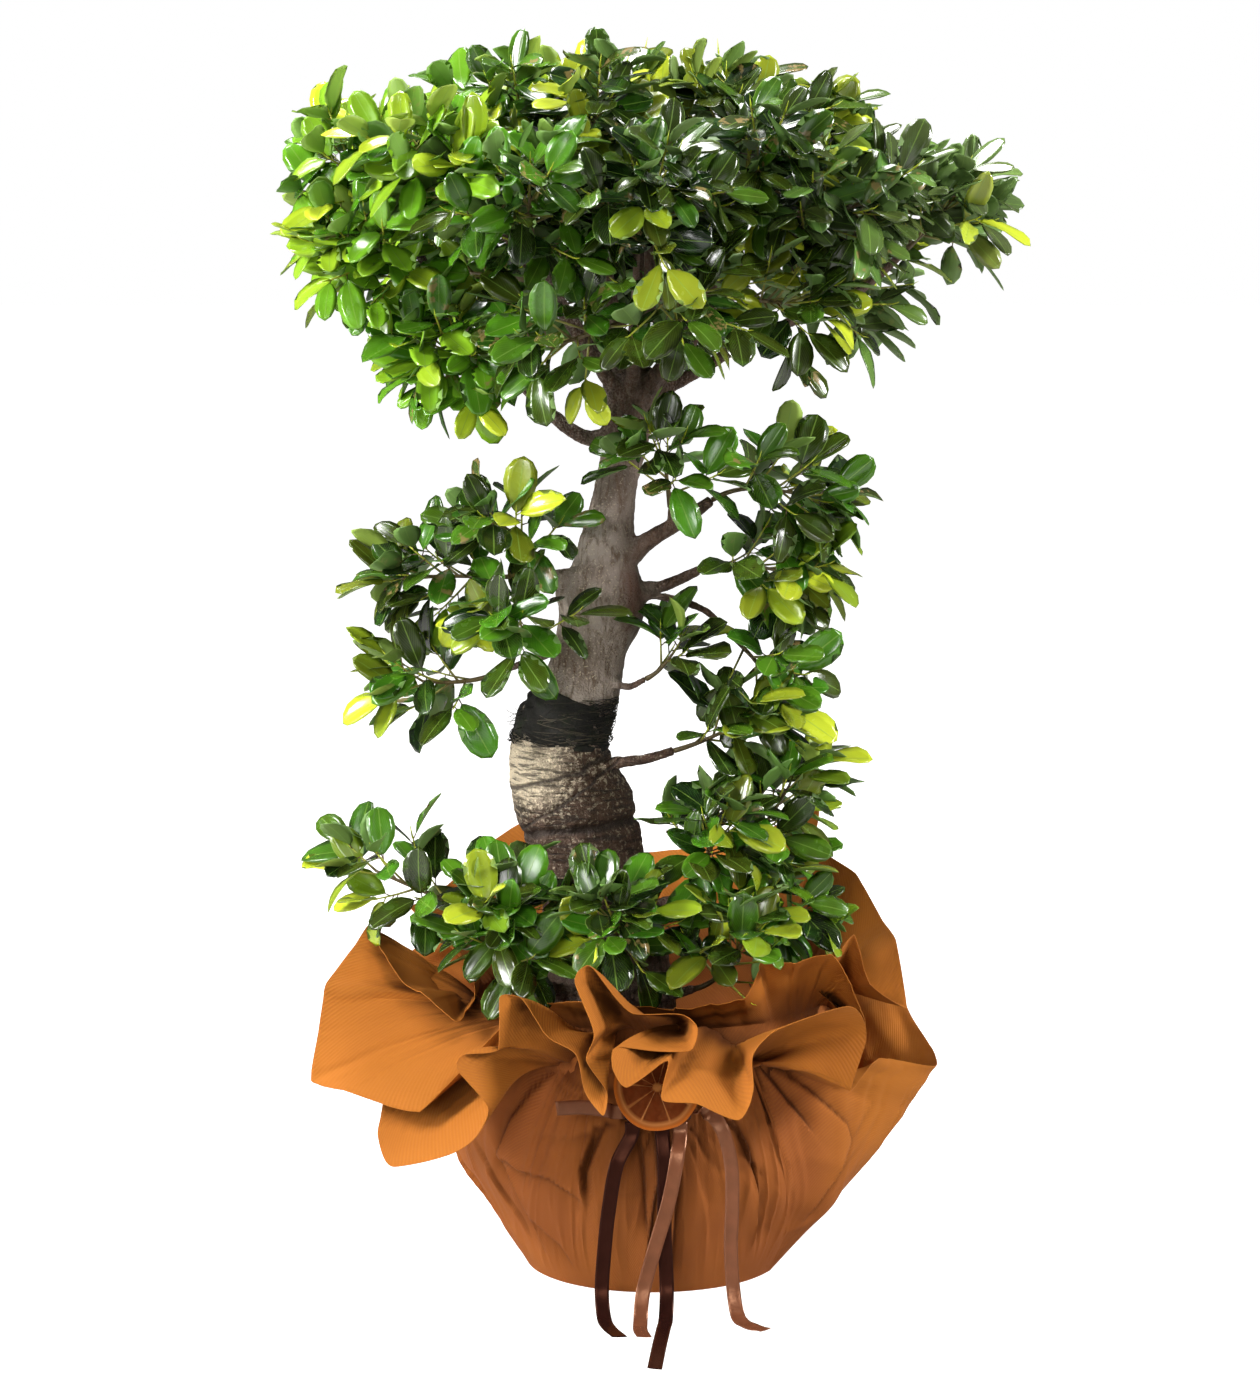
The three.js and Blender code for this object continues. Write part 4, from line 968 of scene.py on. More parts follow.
def build_spray(name, number, spray, settings, walls, materials):
    """One spray: its stem, its shoots with their buds, and those leaves that are clear of wood and cloth."""
    stem, shoots = spray_plan(settings, number, spray)
    _, _, tip, (planned, _) = spray
    heap = Heap("tone", "youth", "scorch", "dull")
    roll = dice(LOOSE_SEED_FIRST + LOOSE_SEED_STEP * number)
    if name.startswith("canopy"):
        shoots += inner_shoots(settings, stem, 1 if name in OPEN_SPRAYS else INNER_SHOOTS, roll)
    radius = settings.stem_radius / MM
    heap.add(*tube(stem, tapering(radius, radius * 0.5), 6, 12), TWIG, youth=0.05)
    grade = spray_grade(name, tip)
    for k, shoot in enumerate(shoots):
        in_frame = k < planned and (planned - 1 - k) % FRAME_STEP == 0
        if not in_frame and name.startswith("canopy"):
            longer = shoot["length"] * mix(*LOOSE_SHOOTS, roll() ** 2)
            for leaf in shoot["leaves"]:
                leaf["base"] = leaf["base"] + shoot["direction"] * longer * mix(*LEAF_SPAN, leaf["step"])
            shoot["length"] += longer
        end = shoot["from"] + shoot["direction"] * shoot["length"]
        bend = shoot["from"] + shoot["direction"] * shoot["length"] * 0.5 - vec(0, 0, 1.2)
        wood = Bow(shoot["from"], bend, end)
        radius = settings.shoot_radius / MM
        points, faces = tube(wood, tapering(radius, radius * 0.55), 5, 4)
        heap.add(points, faces, TWIG, youth=np.repeat(np.linspace(0.05, 0.7, 5), 5))
        bud = Bow(end, end + shoot["direction"] * 6, end + shoot["direction"] * 11 + vec(0, 0, 2.5))
        heap.add(*tube(bud, tapering(0.9, 0.12), 4, 2), TWIG, youth=0.9)
        fresh = roll()
        youth = 1.0 if fresh > 1 - grade["young"] else 0.5 if fresh > 1 - 2 * grade["young"] else 0.06
        for j, leaf in enumerate(shoot["leaves"]):
            shape = {
                "fold": 0.04 + 0.32 * roll(), "curl": -0.06 + 0.36 * roll(), "wave": 0.2 * roll(),
                "phase": 6.28 * roll(),
            }
            spoiled = roll()
            twisted(leaf, math.radians(56) * (roll() - 0.5))
            leaf["wide"] *= grade["wide"]
            leaf["long"] *= grade["long"]
            if (j < grade["skip"] and not in_frame) or not is_clear(leaf, walls):
                continue
            new = clamp((leaf["step"] - 0.35) / 0.65) * youth
            # The tone carries the painted light and shade of the spray's place, with a random part for each leaf
            tone = clamp(grade["tone_and_painted_light"] + 0.8 * (leaf["tone"] - 0.5))
            numbers = {
                "tone": tone, "dull": grade["dull"] * (0.5 + 0.5 * leaf["tone"]),
                # On the crown's left, leaves are painted young yellow-green as if lit through from behind
                "youth": max(new * 0.9, grade["painted_backlight"] * 1.6 * leaf["tone"] ** 2),
                "scorch": 0.8 if spoiled > 0.88 and new < 0.2 else 0.0,
            }
            heap.add(leaf_points(leaf, settings, shape), LEAF_FACES, LEAF_KINDS, LEAF_UVS, **numbers)
    piece = heap.piece("leafy_" + name, *materials)
    seat(piece, "leaf", name)


def trunk_share(height):
    low, high = 0.0, 1.0
    for _ in range(24):
        middle = (low + high) / 2
        if TRUNK.point(middle)[2] < height:
            low = middle
        else:
            high = middle
    return low


def trunk_half(height):
    return np.interp(height, [point[2] for point in TRUNK_LINE], TRUNK_HALF)


def root_lobes(height, angles):
    """Thick roots stand out as three lobes between the soil and the waist of the trunk."""
    share = clamp((height - SOIL_TOP) / 60) * clamp((345 - height) / 60)
    return 1 + 0.14 * share * np.cos(3 * angles + 0.6)


def trunk_radius(share, angles):
    height = TRUNK.point(share)[2]
    half = trunk_half(height) * root_lobes(height, angles)
    return half, half * TRUNK_DEPTH_SHARE


def limb_radius(thick, length):
    """A limb swells where it leaves the wood, like a root flare."""
    start, end = thick

    def radius(share, angles):
        swell = 1 + 0.85 * math.exp(-share * length / 22)
        return (mix(start, end, share) * swell,) * 2
    return radius


# Knots and scars on the bark: their place, how wide they are, how far they stand out, in millimetres, and how dark
KNOTS = [
    ((-78, -10, 594), 12, 6, 0.5), ((-49, -36, 608), 9, 3.5, 0.3), ((-49, -42, 608), 3.2, -5, 1.0),
    ((-22, -30, 566), 16, 4, 0.2), ((-8, -30, 600), 9, 6, 0.3), ((-12, -34, 582), 6, -6, 0.8),
    ((-40, -24, 655), 9, 2.5, 0), ((-16, -20, 690), 8, 2.5, 0.3), ((-30, -20, 726), 12, 4, 0.4),
    ((-6, -16, 748), 11, 4, 0.4), ((-62, -34, 507), 5, 2.5, 0.7), ((-40, -34, 510), 6, 2.5, 0.7),
    ((-99, -38, 450), 5, 2.5, 0.7), ((-99, -42, 450), 2, -3, 0.9), ((-104, -30, 425), 18, 3, 0),
    ((-50, -46, 425), 22, 4, 0), ((-92, -40, 402), 10, 3, 0.4), ((-90, -30, 300), 20, 4, 0),
    ((-12, -40, 330), 18, 4, 0),
]


# The setting for relief, in millimetres, at which the bark stands out as bark_relief says
RELIEF_DRAWN = 0.9
# Where the bark is knotted below, where it is stretched over the knee, and where it is rough above
ROUGH_BELOW, KNEE, ROUGH_ABOVE = 455, (345, 452), 690
# The two long furrows on the front of the knee: height at the middle, slope and width
KNEE_FURROWS = [(461.2, 0.353, 2.6), (466.9, 0.732, 2)]


def bark_relief(point):
    """How far the bark stands out at a point, in millimetres."""
    x, y, z = point
    relief = 2.4 * noise_at(x / 34, y / 34, z / 40)
    relief += 1.4 * noise_at(x / 8, y / 8, z / 40 + 3)
    relief += 0.7 * noise_at(x / 4, y / 4, z / 5)
    if z < ROUGH_BELOW:
        relief += 1.1 * noise_at(x / 7, y / 7, z / 6 + 8)
    if z > ROUGH_ABOVE:
        share = clamp((z - ROUGH_ABOVE) / 40)
        relief += share * 1.5 * noise_at(x / 4, y / 4, z / 18 + 0.1 * x)
    low, high = KNEE
    if low < z < high:
        slant = (z + 0.45 * x + 16 * noise_at(x / 24, y / 24, z / 24)) / 8
        groove = abs(slant - round(slant))
        patch = clamp(0.5 + 1.5 * noise_at(x / 22, y / 22, z / 18))
        relief -= 0.9 * patch * math.exp(-(groove / 0.12) ** 2) * clamp((z - low) / 12) * clamp((high - z) / 12)
    # The ring under the knee, and the two long furrows on its front
    drift = 5 * noise_at(x / 20, y / 20, 4)
    relief -= 3.6 * math.exp(-((z - 393 - 0.12 * x + drift) / 5) ** 2)
    if y < 0 and 395 < z < ROUGH_BELOW:
        for first, slope, wide in KNEE_FURROWS:
            relief -= 1.9 * math.exp(-((z - first - slope * x + 0.5 * drift) / wide) ** 2)
    return relief


def build_trunk(settings, material):
    heap = Heap()
    heap.add(*tube(TRUNK, trunk_radius, 64, 150, vec(1, 0, 0)))
    for branch in LIMBS.values():
        line = branch["line"]
        heap.add(*tube(line, limb_radius(branch["thick"], line.length), 12, 24))
    for spray in SPRAYS.values():
        foot, start, _ = spray_start(spray)
        if spray[1] != 1:
            stub = Bow(foot, (foot + start) / 2, start)
            heap.add(*tube(stub, tapering(STUB["radius"] * 1.3, STUB["end"]), 8, 4))
    piece = heap.piece("bark_trunk")
    modify(piece, "REMESH", mode="VOXEL", voxel_size=settings.voxel, use_smooth_shade=True)
    modify(piece, "SMOOTH", factor=0.5, iterations=5)
    mesh = piece.data
    points = read(mesh, "co") / MM
    normals = read(mesh, "normal")
    heights = points[:, 2]
    shares = np.linspace(0, 1, 160)
    line = np.array([TRUNK.point(share) for share in shares])
    middle = np.stack([np.interp(heights, line[:, 2], line[:, axis]) for axis in range(2)], axis=1)
    away = np.linalg.norm(points[:, :2] - middle, axis=1)
    half = trunk_half(heights)
    outside = np.clip((away - half * 1.12 - 3) / 14, 0, 1)
    outside = np.maximum(outside, np.clip((heights - 770) / 10, 0, 1))
    calm = 1 - 0.7 * outside
    moves = np.array([bark_relief(point) for point in points]) * calm
    for place, width, rise, dark in KNOTS:
        near = np.exp(-(np.linalg.norm(points - vec(*place), axis=1) / width) ** 2)
        moves += rise * near * calm
        outside = np.maximum(outside, dark * near)
    fits = np.clip((heights - 176) / 12, 0, 1)
    moved = points + normals * (moves * fits * settings.relief / (RELIEF_DRAWN * MM))[:, None]
    mesh.vertices.foreach_set("co", (moved * MM).ravel())
    mesh.update()
    write(mesh, "limb", outside)
    dress(mesh, material)
    seat(piece, "bark", "trunk")


BAND = {"from": 458, "to": 497, "thick": 3}
STRANDS = 300
STRAND_STEPS = 8
TUFTS = 16
BAND_SEED = 4711


def build_band(material):
    """A sleeve of matted fibre, with loose strands wound round it."""
    low, high = trunk_share(BAND["from"]), trunk_share(BAND["to"])
    line = Line([TRUNK.point(share) for share in np.linspace(low, high, 7)])

    def radius(share, angles):
        height = line.point(share)[2]
        rough = [noise_at(3 * math.cos(a), 3 * math.sin(a), height / 5) for a in angles]
        ends = 1 - 0.5 * abs(2 * share - 1) ** 4
        half = trunk_half(height) + BAND["thick"] * ends - 1.2 + 2.8 * np.array(rough)
        return half, half * TRUNK_DEPTH_SHARE

    heap = Heap("tone")
    heap.add(*tube(line, radius, 72, 22, vec(1, 0, 0)))
    roll = dice(BAND_SEED)
    for _ in range(STRANDS):
        turn, share = 2 * math.pi * roll(), 0.04 + 0.92 * roll()
        sweep, tilt, lift = 0.5 + 1.7 * roll(), 0.9 * (roll() - 0.5), 3.2 * roll()
        points = []
        for step in range(STRAND_STEPS + 1):
            at = clamp(share + tilt * (step / STRAND_STEPS - 0.5))
            angle = turn + sweep * step / STRAND_STEPS
            centre = line.point(at)
            half = trunk_half(centre[2]) + BAND["thick"] - 1.2 + lift * math.sin(math.pi * step / STRAND_STEPS)
            points.append(centre + vec(half * math.cos(angle), half * TRUNK_DEPTH_SHARE * math.sin(angle), 0))
        heap.add(*tube(Line(points), tapering(0.5, 0.25), 3, 14, vec(0, 0, 1)), tone=roll())
    for _ in range(TUFTS):
        angle = math.pi * (0.86 + 0.5 * roll())
        centre = line.point(0.35 + 0.5 * roll())
        half = trunk_half(centre[2]) + BAND["thick"]
        out = vec(math.cos(angle), math.sin(angle), 0)
        start = centre + out * half * 0.96
        reach = 6 + 14 * roll()
        end = start + out * reach + vec(0, 0, 14 * (roll() - 0.65))
        heap.add(*tube(Bow(start, start + out * reach * 0.7, end), tapering(0.5, 0.2), 3, 6, vec(0, 0, 1)))
    piece = heap.piece("fibre_band", material)
    seat(piece, "fibre", "graft_band")


POT = {"base": 98, "rim": 148, "height": 186, "wall": 4, "floor": 3}
# The hole that the trunk stands in, and the room that the crumbs leave round it
SOIL_HOLE = 62.4
CRUMB_FREE = 66
CRUMBS = 300
SOIL_SEED = 8123
CRUMB_SEED = 55


def build_soil(material):
    """Peat round the foot of the trunk, down to the pot's floor, with crumbs of bark on top."""
    around = 120
    angles = 2 * math.pi * np.arange(around) / around
    inner = np.stack([TRUNK_FOOT + SOIL_HOLE * np.cos(angles), SOIL_HOLE * np.sin(angles)], axis=1)

    def ring(height):
        share = (height - POT["floor"]) / POT["height"]
        return mix(POT["base"], POT["rim"], share) - POT["wall"] - 0.6

    circle = np.stack([np.cos(angles), np.sin(angles)], axis=1)
    rows = []
    for share in np.linspace(0, 1, 26):
        flat = mix(inner, circle * ring(SOIL_TOP), share)
        heights = []
        for x, y in flat:
            bumps = 2.2 * noise_at(x / 14, y / 14, 0) + 1.5 * noise_at(x / 4, y / 4, 5)
            heights.append(SOIL_TOP + 2.2 * (1 - share) + bumps * min(1, 6 * (1 - share)) - 0.6)
        rows.append(np.column_stack([flat, heights]))
    floor = POT["floor"] + POT["wall"] + 0.4
    rows.append(np.column_stack([circle * ring(floor), np.full(around, floor)]))
    rows.append(np.column_stack([inner, np.full(around, floor)]))
    # The last row joins the first
    faces = [[i % (len(rows) * around) for i in face] for face in net(len(rows) + 1, around)]
    heap = Heap()
    heap.add(np.concatenate(rows), faces)
    roll = dice(SOIL_SEED)
    crumb, crumb_faces = crumb_shape()
    placed = 0
    while placed < CRUMBS:
        angle, reach = 2 * math.pi * roll(), ring(SOIL_TOP) * math.sqrt(roll()) * 0.95
        x, y = reach * math.cos(angle), reach * math.sin(angle)
        size = 1.4 + 3.4 * roll() ** 2
        if math.hypot(x - TRUNK_FOOT, y) < CRUMB_FREE + size:
            continue
        stretch = vec(size * (0.8 + 0.8 * roll()), size * (0.6 + 0.4 * roll()), size * 0.5)
        across, along, up = (crumb * stretch).T
        lump = np.stack([*turned(across, along, 2 * math.pi * roll()), up], axis=1)
        heap.add(lump + vec(x, y, SOIL_TOP + 1.2), crumb_faces)
        placed += 1
    piece = heap.piece("soil_bed", material)
    seat(piece, "soil", "soil")


def crumb_shape():
    """One crumb of bark: a rough lump with 20 faces."""
    bpy.ops.object.select_all(action="DESELECT")
    bpy.ops.mesh.primitive_ico_sphere_add(subdivisions=1, radius=1)
    lump = bpy.context.active_object
    points = read(lump.data, "co")
    roll = dice(CRUMB_SEED)
    points = points * np.array([[0.75 + 0.5 * roll()] for _ in points])
    faces = [list(polygon.vertices) for polygon in lump.data.polygons]
    bpy.data.meshes.remove(lump.data)
    return points, faces


# Outer sheet: its ruffled front edge from right to left, then the angle and size of the neck under it
RUFFLE = [
    [163, -170, 189], [177, -150, 232], [160, -180, 261], [100, -220, 251], [80, -248, 237], [79, -270, 213],
    [67, -285, 194], [34, -282, 206], [6, -280, 209], [11, -255, 235], [-22, -280, 218], [-34, -270, 231],
    [-32, -250, 244], [-1, -245, 240], [29, -250, 242], [34, -240, 258], [21, -225, 265], [-18, -215, 264],
    [-39, -205, 284], [-54, -205, 301], [-64, -215, 291], [-49, -235, 253], [-55, -245, 233], [-38, -275, 214],
    [-41, -290, 198], [-56, -270, 213], [-64, -235, 235], [-88, -218, 246], [-109, -200, 274],
    [-126, -205, 277], [-126, -210, 250], [-128, -215, 233], [-155, -235, 235], [-159, -240, 224],
    [-134, -230, 190],
]
RUFFLE_NECK = (-57, -121)
WRAP_SIDES = [
    ([-128, 161, 216], [-144, -215, 161]), ([-136, 164, 202], [-167, -200, 143]),
    ([-146, 165, 196], [-218, -165, 124]), ([-154, 166, 198], [-231, -135, 143]),
    ([-162, 168, 204], [-228, -110, 167]), ([-176, 171, 210], [-238, -30, 214]),
    ([-195, 173, 214], [-214, 62, 262]), ([-218, 173, 214], [-168, 140, 268]),
    ([-242, 173, 214], [-104, 192, 262]), ([-266, 173, 214], [-12, 226, 250]),
    ([-290, 173, 214], [84, 208, 262]), ([-314, 173, 214], [158, 156, 268]),
    ([-336, 178, 205], [206, 98, 246]), ([-351, 196, 168], [228, 46, 208]),
    ([-365, 221, 130], [244, -30, 180]), ([-388, 190, 168], [193, -90, 197]),
]
# How the painted shade of the folds is felt for: how far, from how high up, how many ways, and the start off the
# cloth
RECESS = {"reach": 0.06, "from": 0.15, "rays": 26, "lift": 0.0012}
FOOT = 111
NECK = {"radius": 159, "height": 238, "middle": 4, "level": 38, "sides": 84, "drop": 36}
FLARE = {"radius": 173, "reach": 48}
NECK_TO_FOOT = [(-388, -382), (-365, -365), (-200, -200), (-160, -176), (-121, -152), (-57, -28)]
BODY_SHARES = (0.2, 0.42, 0.7)
FULL_BODY = (0.5, 0.95, 1.08)
STRAIGHT_BODY = (0.16, 0.43, 0.72)

# Inner sheet: the angle of each column at its neck and the place of its edge
LINING = [
    [-128, -194, -165, 170], [-135, -259, -120, 177], [-142, -290, -95, 180], [-147, -285, -75, 217],
    [-152, -279, -60, 256], [-157, -256, -45, 286], [-162, -244, -40, 304], [-166, -232, -70, 292],
    [-170, -211, -100, 268], [-174, -186, -125, 256], [-178, -164, -138, 244], [-183, -152, -110, 254],
    [-189, -160, -40, 272], [-195, -213, 30, 304], [-202, -198, 60, 307], [-210, -175, 88, 322],
    [-220, -146, 115, 348], [-232, -115, 145, 363], [-247, -74, 172, 334], [-268, -1, 186, 328],
    [-291, 81, 162, 342], [-316, 150, 125, 380], [-326, 148, 112, 346], [-334, 181, 75, 328],
    [-341, 203, 50, 291], [-348, 214, 25, 277], [-355, 221, -10, 222], [-361, 185, -50, 251],
    [-367, 170, -80, 303], [-373, 140, -92, 260], [-379, 177, -112, 232], [-385, 161, -130, 275],
    [-391, 147, -140, 298], [-398, 118, -150, 292], [-407, 91, -160, 296], [-417, 75, -167, 266],
    [-440, 18, -172, 257], [-462, -34, -171, 261], [-474, -74, -160, 262], [-482, -112, -150, 252],
]
LINING_NECK = (152, 236)
LINING_SIDE = (155, 185)
LINING_FOOT = (103.5, 1.5)


def around_axis(angle, radius, height):
    return vec(radius * math.cos(math.radians(angle)), radius * math.sin(math.radians(angle)), height)


def neck_height(angle):
    """The neck is level above the knot and hangs lower at both sides of it."""
    away = abs(NECK["radius"] * math.cos(math.radians(angle)) - NECK["middle"])
    share = clamp((away - NECK["level"]) / (NECK["sides"] - NECK["level"]))
    return NECK["height"] - NECK["drop"] * share * share * (3 - 2 * share)


def wrap_column(neck, edge):
    angle, radius, height = neck
    foot = np.interp(angle, *zip(*NECK_TO_FOOT))
    flare = clamp((radius - FLARE["radius"]) / FLARE["reach"])
    column = [around_axis(foot, FOOT, 0)]
    for share, full, straight in zip(BODY_SHARES, FULL_BODY, STRAIGHT_BODY):
        reach = mix(full, straight, flare)
        column.append(around_axis(mix(foot, angle, share), mix(FOOT, radius, reach), share * height))
    return [*column, around_axis(*neck), vec(*edge)]


def lining_column(angle, *edge):
    rings = (LINING_FOOT, LINING_SIDE, LINING_NECK)
    return [*[around_axis(angle, *ring) for ring in rings], vec(*edge)]


# How hard a smooth run is drawn through its points
PULL = 0.46


def smooth_run(points, samples, closed, pull=PULL):
    """A smooth run through rows of points, with so many samples to each; a lower pull gives sharper turns."""
    if closed:
        spots = np.concatenate([points[-1:], points, points[:2]])
        spans = len(points)
    else:
        spots = np.concatenate([2 * points[:1] - points[1:2], points, 2 * points[-1:] - points[-2:-1]])
        spans = len(points) - 1
    found = []
    for i, count in enumerate(np.broadcast_to(samples, spans)):
        a, b, c, d = spots[i:i + 4]
        leave, reach = (c - a) * pull, (d - b) * pull
        for t in np.arange(count) / count:
            found.append(
                (2 * t ** 3 - 3 * t ** 2 + 1) * b + (t ** 3 - 2 * t ** 2 + t) * leave
                + (3 * t ** 2 - 2 * t ** 3) * c + (t ** 3 - t ** 2) * reach
            )
    if not closed:
        found.append(points[-1])
    return np.array(found)


class Pleats:
    """Flat pleats laid round a sheet: each rises slowly and drops sharply, like cloth that overlaps itself."""
    drop = 0.16

    def __init__(self, seed, count, total):
        roll = dice(seed)
        self.starts = np.array([(i + 0.85 * roll()) / count * total for i in range(count)])
        self.ends = np.append(self.starts[1:], self.starts[0] + total)
        self.depths = np.array([0.15 + 0.85 * roll() ** 1.6 for _ in range(count)])
        self.turned = np.array([roll() > 0.5 for _ in range(count)])
        self.fades = np.array([1.1 * roll() for _ in range(count)])
        self.total = total

    def depth(self, places, share):
        """How deep the cloth lies at places round the sheet; share runs from the foot, 0, to the neck, 1."""
        places = (places - self.starts[0]) % self.total + self.starts[0]
        cell = np.searchsorted(self.starts, places, side="right") - 1
        t = (places - self.starts[cell]) / (self.ends[cell] - self.starts[cell])
        t = np.where(self.turned[cell], 1 - t, t)
        rise = np.where(t < 1 - self.drop, t / (1 - self.drop), (1 - t) / self.drop)
        length = np.clip((share - self.fades[cell] * 0.5) / 0.35 + 0.35, 0.12, 1)
        return rise * self.depths[cell] * length


def surface_normals(rows):
    """Directions straight out of a grid of points that is closed round its columns."""
    along = np.gradient(rows, axis=0)
    across = np.roll(rows, -1, axis=1) - np.roll(rows, 1, axis=1)
    normals = np.cross(along, across)
    return normals / np.maximum(np.linalg.norm(normals, axis=2), 1e-9)[:, :, None]


def spokes(rows, seed, shares):
    """Creases that run out from the knot like spokes: their depth, and the painted shade of the cloth round the knot.
    """
    creases = Pleats(seed + 9, 38, 2 * math.pi)
    over, up = rows[:, :, 0] - KNOT["x"], rows[:, :, 2] - KNOT["z"]
    reach = np.hypot(over, up)
    bend = np.array([noise_at(*point / 45) for point in rows.reshape(-1, 3)]).reshape(reach.shape)
    front = np.clip((-rows[:, :, 1] - 60) / 50, 0, 1) * (shares <= 1)[:, None]
    strength = np.clip(reach / 20, 0, 1) * np.exp(-(reach / 105) ** 2) * front
    depth = 3.6 * strength * creases.depth(np.arctan2(up, over) + 0.35 * bend, 1)
    # The second is painted shade, darkest at the knot
    return depth, 0.8 * np.exp(-(reach / 60) ** 2) * front


# Big folds on the front of the body: depth, width, the side that lies under, and the line from above as (x, z)
FOLDS = [
    (5, 8, -1, [(-132, 115), (-120, 91), (-106, 60), (-93, 28)]),
    (3, 10, -1, [(-80, 200), (-103, 177), (-120, 151), (-132, 115)]),
    (3, 6, 1, [(-153, 127), (-141, 100), (-126, 66), (-106, 31)]),
    (4, 7, 1, [(-53, 143), (-62, 115), (-58, 86)]),
    (3, 6, -1, [(-41, 153), (-53, 126), (-57, 109)]),
    (3, 6, -1, [(-11, 151), (-7, 113), (-4, 57)]),
    (4, 6, 1, [(1, 151), (3, 109), (-1, 87), (-6, 27)]),
    (3, 8, 1, [(15, 151), (19, 109), (14, 14)]),
    (3, 10, 1, [(61, 167), (79, 134), (89, 91), (87, 38)]),
    (3.5, 7, -1, [(50, 170), (71, 151), (83, 121), (91, 110)]),
    (4.5, 9, 1, [(86, 204), (111, 170), (133, 137)]),
    (3.5, 12, 1, [(91, 204), (130, 174), (153, 140), (156, 123), (148, 97), (123, 51)]),
    (2.5, 8, 1, [(208, 198), (197, 177), (156, 123)]),
    (2, 6, 1, [(224, 190), (206, 160), (178, 126), (139, 81)]),
    (2, 14, -1, [(-131, 115), (-112, 106), (-89, 105), (-57, 86)]),
    (2, 10, -1, [(-103, 60), (-78, 38), (-66, 18)]),
]


# The body's radius at heights, in millimetres
BODY_RADIUS = [(0, 111), (48, 135), (100, 156), (167, 163), (238, 159)]


def unrolled(x, radius):
    """Where a place across the front lies once the round body is laid flat."""
    return radius * np.arcsin(np.clip(x / radius, -1, 1))


def overlaps(rows, shares):
    """How deep the cloth lies beside each big fold, and the painted shade in its hollow."""
    spots = np.stack([unrolled(rows[:, :, 0], np.hypot(rows[:, :, 0], rows[:, :, 1])), rows[:, :, 2]], axis=2)
    front = np.clip((-rows[:, :, 1] - 50) / 50, 0, 1) * (shares <= 1)[:, None]
    room = np.interp(shares, [0, 0.15, 0.35, 0.6, 0.9, 1], [0.3, 0.8, 1, 1, 0.5, 0.4])[:, None]
    depth, hollow_shade = np.zeros(front.shape), np.zeros(front.shape)
    for deep, wide, under, line in FOLDS:
        line = np.array(line, float)
        radius = np.maximum(np.interp(line[:, 1], *zip(*BODY_RADIUS)), 1.03 * np.abs(line[:, 0]))
        line[:, 0] = unrolled(line[:, 0], radius)
        lengths = np.linalg.norm(np.diff(line, axis=0), axis=1)
        starts = np.concatenate([[0], np.cumsum(lengths)])
        nearest = np.full(front.shape, np.inf)
        signed, run = np.zeros(front.shape), np.zeros(front.shape)
        for i, length in enumerate(lengths):
            way = (line[i + 1] - line[i]) / length
            over = spots - line[i]
            along = np.clip(over @ way, 0, length)
            away = np.linalg.norm(over - along[:, :, None] * way, axis=2)
            side = np.sign(way[0] * over[:, :, 1] - way[1] * over[:, :, 0]) * under
            closer = away < nearest
            nearest = np.where(closer, away, nearest)
            signed = np.where(closer, away * side, signed)
            run = np.where(closer, starts[i] + along, run)
        fade = np.clip((run + 6) / 16, 0, 1) * np.clip((starts[-1] - run + 3) / 18, 0, 1) * front
        low = np.exp(-np.abs(signed) / (1.3 * wide)) * np.clip(signed / 2, -0.4, 1)
        depth += 1.9 * deep * fade * low * room
        # Painted shade along the under side of the fold
        shade = 0.16 * np.exp(-((signed - 1.2) / 2.2) ** 2) + 0.09 * np.exp(-np.abs(signed - 2) / wide) * (signed > 0)
        hollow_shade += deep * fade * shade
    # The left of the body is drawn in towards the foot
    angles = np.degrees(np.arctan2(rows[:, :, 1], rows[:, :, 0]))
    drawn = np.exp(-((angles + 168) / 30) ** 2 - ((shares[:, None] - 0.36) / 0.22) ** 2) * (shares <= 1)[:, None]
    return depth + 9 * drawn, hollow_shade


# How far a sheet may be drawn in at shares of the way up, before it meets what it is wrapped round
BODY_ROOM = [(0, 3), (0.2, 12), (0.42, 17), (0.7, 9.5), (0.9, 5.5), (1, 4.5), (1.3, 40)]


# How deep waves and sharp ridges are, in millimetres, at shares of the way up
WAVES = [(0.03, 0), (0.4, 4.5), (0.7, 2.5), (1, 0.3), (1.15, 2.2), (2, 3.4)]
RIDGES = [(0.05, 0), (0.3, 2.4), (0.7, 2.4), (1, 0.3), (1.3, 0), (2, 0)]
# How deep a crease is, in millimetres, when its painted shade is at its darkest
DARKEST_SHADE_DEPTH = 9.0
# How much painted shade the cloth may have at most
MOST_FOLD_SHADE = 0.85


def sheet_rows(columns, neck_row, plan):
    """Rows of points from the foot to the edge, their shares of the way up, and where each column lies round."""
    pulls = np.full((len(columns[0]), 1), PULL)
    pulls[-1] = plan["corner"]
    middle = np.array([column[len(column) // 2 - 1] for column in columns])
    gaps = np.linalg.norm(np.roll(middle, -1, axis=0) - middle, axis=1)
    steps = np.where(middle[:, 1] < 0, plan["step"], plan["back_step"])
    samples = np.maximum(plan["samples"], gaps / steps).astype(int)
    grid = smooth_run(np.array(columns), samples, True, pulls)
    body = smooth_run(np.swapaxes(grid[:, :neck_row + 1], 0, 1), plan["body_steps"], False)
    neck, edge = grid[:, neck_row], grid[:, neck_row + 1]
    reach = np.linalg.norm(edge - neck, axis=1)[:, None]
    pull = neck + (edge - neck) * 0.5 + vec(0, 0, 1) * reach * plan["bow"]
    ruffle_shares = np.linspace(0, 1, plan["ruffle_steps"] + 1)[1:]
    ruffle = [(1 - t) ** 2 * neck + 2 * (1 - t) * t * pull + t ** 2 * edge for t in ruffle_shares]
    rows = np.concatenate([body, np.array(ruffle)])
    shares = np.concatenate([np.linspace(0, 1, len(body)), 1 + ruffle_shares])
    places = np.concatenate([i + np.arange(count) / count for i, count in enumerate(samples)])
    laps = np.interp(places, np.arange(len(columns) + 1), np.concatenate([[0], np.cumsum(gaps)]))
    return rows, shares, places, laps, gaps.sum()


